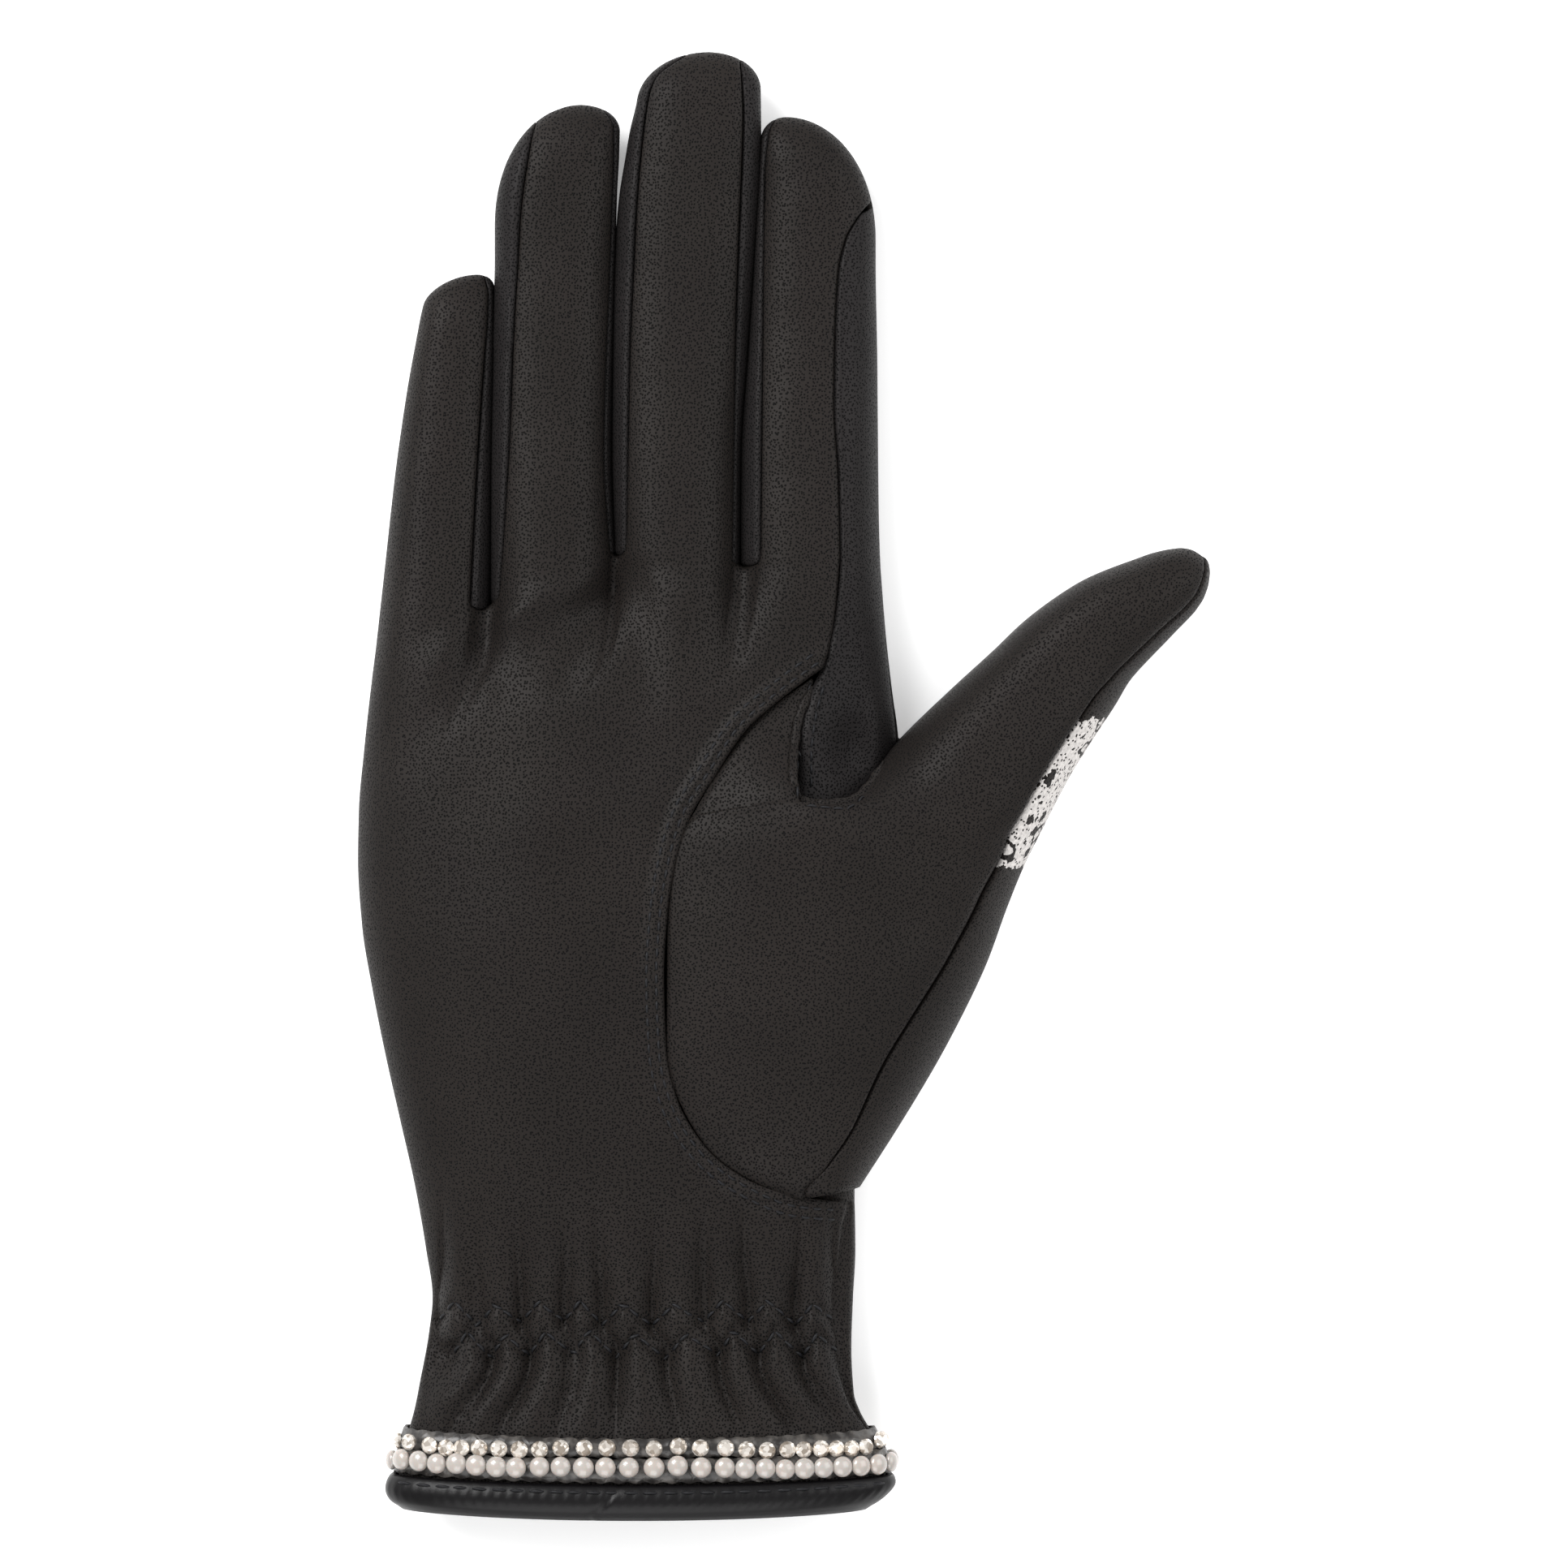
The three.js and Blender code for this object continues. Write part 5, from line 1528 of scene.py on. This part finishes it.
@dataclass
class Stitching:
    """Rows of separate stitches lying on the leather.

    Attributes:
        surface: Where the stitches lie.
        length: Length of a stitch in millimetres.
        pitch: Distance from one stitch to the next.
        thick: Diameter of the thread.
        steepest: Millimetres that a stitch may climb.
    """

    surface: Surface
    length: float = 1.75
    pitch: float = 2.15
    thick: float = 0.42
    steepest: float = 1.6

    def unit(self) -> tuple[np.ndarray, np.ndarray]:
        """One stitch: rings of six points along a half ellipse that dips at both ends."""
        t = np.linspace(0, 1, 6)
        angle = np.linspace(0, 2 * math.pi, 7)[:-1]
        radius = 0.5 * self.thick * (0.45 + 0.55 * np.sin(math.pi * t) ** 0.5)
        lift = 0.28 * np.sin(math.pi * t) - 0.1
        x = np.broadcast_to(((t - 0.5) * self.length)[:, None], (6, 6))
        y = radius[:, None] * np.cos(angle)
        z = lift[:, None] + radius[:, None] * np.sin(angle)
        points = np.stack([x, y, z], axis=-1).reshape(-1, 3)
        faces = quads(6, 6, closed=True)
        return points, faces

    def rows(
        self, name: str, lines: list[np.ndarray], thread: bpy.types.Material, sink: float = 0.0
    ) -> bpy.types.Object:
        """Stitches along lines of millimetre places, but none where the leather is missing or too steep.

        Args:
            name: Name of the piece.
            lines: Each an (n, 2) array of places.
            thread: Material.
            sink: How deep the stitches lie in.

        Returns:
            The piece.
        """
        unit, faces = self.unit()
        spots, frames = [], []
        for line in lines:
            run = arc_length(line)
            for at in np.arange(0.5 * self.pitch, run[-1], self.pitch):
                ends = [along(line, run, at + d) for d in (-0.5, 0.5)]
                hits = [self.surface.drop(*end) for end in ends]
                middle = self.surface.drop(*(0.5 * (ends[0] + ends[1])))
                if middle is None or None in hits:
                    continue
                heading = hits[1][0] - hits[0][0]
                if abs(heading[2]) > self.steepest:
                    continue
                normal = middle[1]
                heading -= normal * (heading @ normal)
                heading /= np.linalg.norm(heading)
                frames.append(np.stack([heading, np.cross(normal, heading), normal]))
                spots.append(middle[0] - sink * normal)
        points = np.einsum("mk,nkj->nmj", unit, np.array(frames)) + np.array(spots)[:, None]
        all_faces = np.concatenate([faces + k * len(unit) for k in range(len(spots))])
        caps = ((5, 4, 3, 2, 1, 0), range(len(unit) - 6, len(unit)))
        ends = [[k * len(unit) + c for c in cap] for k in range(len(spots)) for cap in caps]
        piece = make_mesh(name, points.reshape(-1, 3), all_faces.tolist() + ends, flip=True)
        return finish_piece(piece, thread, Slot.THREAD)


@dataclass
class CuffTrim:
    """Binding, trim tapes, crystals and pearls round the cuff.

    Attributes:
        columns: Points round the cuff.
        joint: Middle of the groove where the binding's ends meet, (px, py).
        joint_lean: Pixels that the groove moves to the left for each pixel down.
    """

    columns: int = 360
    joint: tuple[float, float] = (755, 1840)
    joint_lean: float = 15 / 26

    def ring(self, py: float, out: float) -> np.ndarray:
        """Closed loop round the cuff at a height, moved out by millimetres: a soft section.

        Args:
            py: Height in the photograph.
            out: Distance off the leather.

        Returns:
            A (columns, 3) array, evenly spaced.
        """
        turn = np.linspace(0, 2 * math.pi, 1440, endpoint=False)
        left, right = flow(py, PALM.left), flow(py, PALM.right)
        half = 0.5 * (right - left) * PIXEL + out
        side = PALM.side_height(np.array(py))
        rise = flow(py, PALM.top) - side + out
        sink = side - flow(py, PALM.bottom) + out
        x = across(0.5 * (left + right)) + half * share_of(turn)
        wave = np.sin(turn)
        z = side + np.where(wave > 0, rise * np.abs(wave) ** 0.9, -sink * np.abs(wave) ** 0.75)
        px = np.clip(x / PIXEL + MIDDLE_PX, 480, 1110)
        back = np.where(wave < 0, np.abs(wave) ** 0.5, 0)
        y = upward(py) + cuff_bow(px) + back * 0.6
        loop = np.stack([x, y, z], axis=-1)
        closed = np.vstack([loop, loop[:1]])
        run = arc_length(closed)
        return along(closed, run, np.linspace(0, run[-1], self.columns, endpoint=False))

    def binding(self, satin: bpy.types.Material) -> bpy.types.Object:
        """Satin welt folded over the rim: a closed profile carried round the cuff.

        Args:
            satin: Its material.

        Returns:
            The piece.
        """
        t = np.linspace(0, 1, 15)
        outside = [(1823 + 42 * s, 0.55 + 1.15 * math.sin(math.pi * min(1, s * 1.1)) ** 0.6) for s in t[:-1]]
        bottom = [(1866.5, 0.1), (1867.5, -0.8), (1866.5, -1.7)]
        inside = [(1862, -2.4), (1850, -2.6), (1838, -2.5), (1830, -2.2), (1829, -1.6)]
        channel = [(1846, -1.5), (1850, -0.6), (1846, 0.2), (1824, 0.25)]
        profile = outside + bottom + inside + channel
        rings = np.stack([self.ring(py, out) for py, out in profile])
        pucker = 0.07 * np.sin(np.linspace(0, 2 * math.pi * 97, self.columns, endpoint=False))
        normal = pucker[:, None] * np.array(UP)
        heights = np.array([p[0] for p in profile])[:, None]
        px = rings[..., 0] / PIXEL + MIDDLE_PX
        left, right = flow(heights, BINDING_LEFT), flow(heights, BINDING_RIGHT)
        rings[..., 0] = across(left + (px - px.min()) / (px.max() - px.min()) * (right - left))
        joint_px, joint_py = self.joint
        joint = np.exp(-(((px - joint_px + (heights - joint_py) * self.joint_lean) / 4.5) ** 2))
        rings[..., 2] -= 0.3 * joint * (rings[..., 2] > 12)
        rings[1:12] += normal * np.sin(np.linspace(0, math.pi, 11))[:, None, None]
        piece = make_mesh("binding_satin", rings.reshape(-1, 3), ring_faces(len(profile), self.columns))
        return finish_piece(piece, satin, Slot.SATIN, "cuff_binding")

    def tape(
        self, name: str, high: float, low: float, material: bpy.types.Material, node: str
    ) -> bpy.types.Object:
        """Thin clear tape round the cuff between two heights, slightly wavy at its edges."""
        wave = 0.12 * np.sin(np.linspace(0, 2 * math.pi * 61, self.columns, endpoint=False))
        levels = [(high, 0.3), (high, 0.95), (0.5 * (high + low), 1.1), (low, 0.95), (low, 0.3)]
        rings = np.stack([self.ring(py, out) for py, out in levels])
        rings[0:2, :, 1] += wave
        rings[3:5, :, 1] += 1.4 * wave[::-1]
        piece = make_mesh(name, rings.reshape(-1, 3), ring_faces(len(levels), self.columns))
        return finish_piece(piece, material, Slot.TAPE, node)

    def stones(
        self, name: str, py: float, out: float, pitch: float, places: tuple[tuple[float, float], ...],
        unit: tuple[np.ndarray, list], material: bpy.types.Material, slot: Slot, flat: bool,
        size_spread: float,
    ) -> bpy.types.Object:
        """A row of stones round the cuff, each turned to face out.

        Those in front stand where the lens sees them at their places, but never nearer than 0.93 of a
        stone's width; the others share out the rest of the loop.

        Args:
            name: Name of the piece.
            py: Height of the row.
            out: Distance of the stones' backs off the leather.
            pitch: Spacing in millimetres where the stones aren't seen.
            places: (px, py) of the stones in front, from left to right.
            unit: Points and faces of one stone, facing +Z.
            material: Its material.
            slot: Its material slot.
            flat: Flat shading, for cut facets.
            size_spread: How much sizes differ, as a share.

        Returns:
            The piece.
        """
        loop = self.ring(py, out)
        closed = np.vstack([loop, loop[:1]])
        run = arc_length(closed)
        random = np.random.default_rng(7)
        above = np.flatnonzero(loop[:, 2] >= PALM.side_height(np.array(py)) + 0.4)
        order = above[np.argsort(loop[above, 0])]
        near = 1 - (loop[:, 2] - LENS_HEIGHT) / LENS_DISTANCE
        seen = (loop[:, 0] - across(0.5 * PHOTO_SIDE)) / near + across(0.5 * PHOTO_SIDE)
        front = np.interp(across([p[0] for p in places]), seen[order], run[order])
        first = len(front) // 2
        way, gap = np.sign(front[-1] - front[0]), 0.93 * 2 * np.abs(unit[0][:, 0]).max()
        for k in range(first + 1, len(front)):
            front[k] = way * max(way * front[k], way * front[k - 1] + gap)
        for k in range(first - 1, -1, -1):
            front[k] = way * min(way * front[k], way * front[k + 1] - gap)
        behind = run[-1] - abs(front[-1] - front[0])
        hidden = max(0, int(round(behind / pitch)) - 1)
        unseen = front[-1] + way * behind * np.arange(1, hidden + 1) / (hidden + 1)
        at = np.concatenate([front, unseen]) % run[-1]
        count = len(at)
        centre = along(closed, run, at)
        axis = upward(0.5 * PHOTO_SIDE)
        near = 1 - (centre[:len(front), 2] - LENS_HEIGHT) / LENS_DISTANCE
        centre[:len(front), 1] = axis + (upward([p[1] for p in places]) - axis) * near
        centre[len(front):, 1] += 0.15 * random.uniform(-1, 1, hidden)
        tangent = along(closed, run, (at + 0.5) % run[-1]) - centre
        tangent[:, 1] = 0
        tangent /= np.linalg.norm(tangent, axis=1, keepdims=True)
        up = np.broadcast_to([0.0, 1.0, 0.0], tangent.shape)
        outward = np.cross(tangent, up)
        outward *= -1 if np.mean(np.sum(outward * (centre - centre.mean(0)), axis=1)) < 0 else 1
        spin = random.uniform(0, 2 * math.pi, count)
        first = np.cos(spin)[:, None] * tangent + np.sin(spin)[:, None] * up
        frames = np.stack([first, np.cross(outward, first), outward], axis=1)
        size = 1 + size_spread * random.uniform(-1, 1, count)
        points, faces = unit
        placed = np.einsum("mk,nkj->nmj", points, frames) * size[:, None, None] + centre[:, None]
        every = [[k * len(points) + c for c in face] for k in range(count) for face in faces]
        piece = make_mesh(name, placed.reshape(-1, 3), every)
        if flat:
            piece.data.polygons.foreach_set("use_smooth", np.zeros(len(every), bool))
        return finish_piece(piece, material, slot)


def dome(radius: float, height: float, sides: int, rings: int) -> tuple[np.ndarray, list]:
    """Half-round stone on a flat back: rings of a quarter ellipse, closed by a point on top."""
    t = np.linspace(0, 0.5 * math.pi, rings + 1)[:-1]
    angle = np.linspace(0, 2 * math.pi, sides, endpoint=False)
    r = radius * np.cos(t)
    z = height * (0.28 + 0.72 * np.sin(t))
    r = np.concatenate([[0.93 * radius], r])
    z = np.concatenate([[0.0], z])
    x, y, z = np.broadcast_arrays(r[:, None] * np.cos(angle), r[:, None] * np.sin(angle), z[:, None])
    points = np.stack([x, y, z], axis=-1).reshape(-1, 3)
    faces = quads(len(r), sides, closed=True).tolist()
    top = len(points)
    points = np.vstack([points, [0, 0, height]])
    last = (len(r) - 1) * sides
    faces += [[last + k, last + (k + 1) % sides, top] for k in range(sides)]
    faces.append(list(range(sides))[::-1])
    return points, faces


def cut_stone(radius: float, height: float) -> tuple[np.ndarray, list]:
    """Brilliant-cut stone: a table of eight sides, facets down to a girdle of sixteen, and a flat back."""

    def ring(reach: float, angle: np.ndarray, z: float) -> np.ndarray:
        return np.stack([reach * np.cos(angle), reach * np.sin(angle), np.full(len(angle), z)], axis=1)

    girdle = np.linspace(0, 2 * math.pi, 16, endpoint=False)
    table = np.linspace(0, 2 * math.pi, 8, endpoint=False)
    middle = table + math.pi / 8
    points = np.vstack([
        ring(radius, girdle, 0.0), ring(radius, girdle, 0.35 * height),
        ring(0.8 * radius, middle, 0.72 * height), ring(0.55 * radius, table, height),
    ])
    faces: list[list[int]] = [list(range(16))[::-1], list(range(40, 48))]
    faces += [[k, (k + 1) % 16, 16 + (k + 1) % 16, 16 + k] for k in range(16)]
    for k in range(8):
        here, after, star, before = 40 + k, 40 + (k + 1) % 8, 32 + k, 32 + (k - 1) % 8
        faces.append([here, star, after])
        faces.append([here, before, 16 + 2 * k, star])
        faces.append([star, 16 + 2 * k, 16 + 2 * k + 1])
        faces.append([star, 16 + 2 * k + 1, 16 + (2 * k + 2) % 16])
    return points, faces


def piping(
    name: str, places: tuple, surface: Surface, radius: float, lift: float, leather: bpy.types.Material
) -> bpy.types.Object:
    """Round fold of leather along a line on the surface: a flat circle carried along it, thin at both ends.

    Args:
        name: Name of the piece.
        places: Corner places, (px, py).
        surface: What it lies on.
        radius: Radius in millimetres.
        lift: Height of its middle over the surface.
        leather: Its material.

    Returns:
        The piece.
    """
    line = photo_path(smooth_path(places, 3.0))
    hits = [surface.drop(*spot) for spot in line]
    path = np.array([[*spot, hit[0][2] + lift] for spot, hit in zip(line, hits) if hit is not None])
    path[:, 2] = np.convolve(np.pad(path[:, 2], 6, mode="edge"), np.ones(13) / 13, mode="valid")
    heading = np.gradient(path, axis=0)
    heading /= np.linalg.norm(heading, axis=1, keepdims=True)
    side = np.cross(heading, [0, 0, 1.0])
    side /= np.linalg.norm(side, axis=1, keepdims=True)
    up = np.cross(side, heading)
    run = np.linspace(0, 1, len(path))
    thinned = np.clip(np.minimum(run, 1 - run) / 0.06, 0.3, 1)
    thick = radius * (1 + 0.1 * np.sin(run * len(path) * 0.9)) * thinned
    around, spacing = 14, 0.4
    angle = np.linspace(0, 2 * math.pi, around, endpoint=False)
    tube = path[:, None] + thick[:, None, None] * (
        np.cos(angle)[None, :, None] * side[:, None] + 0.6 * np.sin(angle)[None, :, None] * up[:, None]
    )
    points = tube.reshape(-1, 3)
    faces = quads(len(path), around, closed=True).tolist()
    faces += [list(range(around))[::-1], [len(points) - around + k for k in range(around)]]
    flat_map = np.stack(np.meshgrid(spacing * np.arange(around), spacing * np.arange(len(path))), axis=-1)
    piece = make_mesh(name, points, faces, flip=True, flat=flat_map.reshape(-1, 2))
    return finish_piece(piece, leather, Slot.LEATHER)


@dataclass(frozen=True)
class Studio:
    """White paper, soft lights and a camera straight above, as in the photograph.

    Attributes:
        sensor: Width of the camera's sensor in millimetres.
        paper: Half the side of the paper in millimetres.
        lamps: (name, place in metres, size in metres, watts) of each area light.
    """

    sensor: float = 36.0
    paper: float = 3000.0
    lamps: tuple[tuple[str, tuple[float, float, float], float, float], ...] = (
        ("key", (-0.75, 0.7, 0.95), 0.8, 24.0),
        ("fill", (0.9, 0.3, 0.8), 1.0, 9.0),
        ("front", (-0.1, -1.0, 0.8), 1.0, 9.0),
    )

    def build(self) -> None:
        """Builds floor, lights, world and camera."""
        middle = (float(across(PHOTO_SIDE / 2)) * MM, float(upward(PHOTO_SIDE / 2)) * MM)
        corners = [(x * self.paper, y * self.paper, -0.05) for x, y in ((-1, -1), (1, -1), (1, 1), (-1, 1))]
        floor = make_mesh("studio_paper", np.array(corners), [[0, 1, 2, 3]])
        floor.data.materials.append(PaperFinish("studio_paper").build())
        camera = bpy.data.objects.new("camera", bpy.data.cameras.new("camera"))
        distance = LENS_DISTANCE * MM
        camera.data.sensor_width = self.sensor
        camera.data.lens = self.sensor * (distance - LENS_HEIGHT * MM) / (PHOTO_SIDE * PIXEL * MM)
        camera.location = (*middle, distance)
        camera.data.clip_end = 20.0
        bpy.context.scene.collection.objects.link(camera)
        bpy.context.scene.camera = camera
        for name, place, size, power in self.lamps:
            light = bpy.data.lights.new(name, "AREA")
            light.shape = "SQUARE"
            light.size = size
            light.energy = power
            lamp = bpy.data.objects.new(name, light)
            lamp.location = place
            lamp.rotation_euler = (Vector((0, 0, 0)) - Vector(place)).to_track_quat("-Z", "Y").to_euler()
            bpy.context.scene.collection.objects.link(lamp)
        world = bpy.data.worlds.new("studio")
        world.use_nodes = True
        world.node_tree.nodes["Background"].inputs["Color"].default_value = (1, 1, 1, 1)
        world.node_tree.nodes["Background"].inputs["Strength"].default_value = 0.4
        bpy.context.scene.world = world
        bpy.context.scene.view_settings.view_transform = "Standard"


def seam_lines() -> dict[str, list[np.ndarray]]:
    """Stitch lines on the leather, in millimetres."""
    def line(places: tuple, shift: float = 0.0) -> np.ndarray:
        return offset_path(photo_path(smooth_path(places, 4.0)), shift)

    gusset = ((1006, 842), (996, 880), (990, 930), (990, 978))
    gusset_end = ((992, 992), (1040, 996), (1070, 976))
    return {
        "inset": [line(INSET_SEAM, -1.3), line(INSET_SEAM, -2.9)],
        "gathers": [photo_path(np.array(zigzag)) for zigzag in PALM.zigzags()],
        "gusset": [line(gusset, 1.2), line(gusset, -1.0), line(gusset_end)],
    }


def main() -> None:
    """Builds every piece in order."""
    logging.basicConfig(level=logging.INFO, format="%(name)s %(message)s")
    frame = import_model()
    LOG.info("frame with %d nodes", len(frame["nodes"]))
    leather = LeatherFinish("glove_leather", (0.0125, 0.0104, 0.0094))
    side = LeatherFinish("side_leather", (0.0118, 0.0104, 0.0104))
    foil = FoilFinish("printed_leather", leather, float(upward(PRINT_LOW)), float(upward(PRINT_HIGH)))
    hide, strips, printed = leather.build(), side.build(), foil.build()
    thread, satin = ThreadFinish("thread").build(), SatinFinish("satin").build()
    film, crystal = TapeFinish("tape").build(), CrystalFinish("crystal").build()
    pearl = PearlFinish("pearl").build()
    body = PalmAndBack()
    body.build(hide)
    sides = SidePanels()
    thumb = Thumb()
    gusset = sides.index_side(thumb, strips)
    for k in range(len(FINGERS) - 1):
        sides.fourchette(k, strips)
    thumb.build(hide, printed)
    trim = CuffTrim()
    binding = trim.binding(satin)
    trim.tape("pearl_tape", 1791, 1820, film, "pearl_band")
    trim.tape("crystal_tape", 1766, 1789, film, "crystal_band")
    trim.stones(
        "pearls", py=PEARL_ROW, out=0.9, pitch=3.75, places=PEARL_PLACES, unit=dome(1.7, 1.6, 22, 8),
        material=pearl, slot=Slot.PEARL, flat=False, size_spread=0.03,
    )
    trim.stones(
        "crystals", py=CRYSTAL_ROW, out=0.85, pitch=3.8, places=CRYSTAL_PLACES, unit=cut_stone(1.4, 1.15),
        material=crystal, slot=Slot.CRYSTAL, flat=True, size_spread=0.02,
    )
    lines = seam_lines()
    on_palm = Surface([body.meshes["palm"]])
    Stitching(on_palm, thick=0.5).rows("thumb_seam_stitches", lines["inset"], thread, 0.1)
    Stitching(on_palm, length=2.0, pitch=2.3, thick=0.55).rows("gather_stitches", lines["gathers"], thread)
    Stitching(Surface([gusset, thumb.meshes["front"]])).rows("gusset_stitches", lines["gusset"], thread)
    rim = trim.ring(BINDING_STITCHES, 1.0)
    front = rim[rim[:, 2] > PALM.side_height(np.array(BINDING_STITCHES)) + 2][:, :2]
    front = front[np.argsort(front[:, 0])]
    on_binding = Surface([binding])
    Stitching(on_binding, length=2.5, pitch=3.1, thick=0.5).rows("binding_stitches", [front], thread)
    edge = (
        (1000, 846), (982, 895), (977, 950), (984, 984), (1012, 990), (1045, 987), (1070, 968),
        (1088, 938),
    )
    under = Surface([thumb.meshes["front"], gusset, body.meshes["palm"]])
    piping("gusset_piping", edge, under, radius=0.75, lift=0.2, leather=hide)
    Studio().build()


if __name__ == "__main__":
    main()
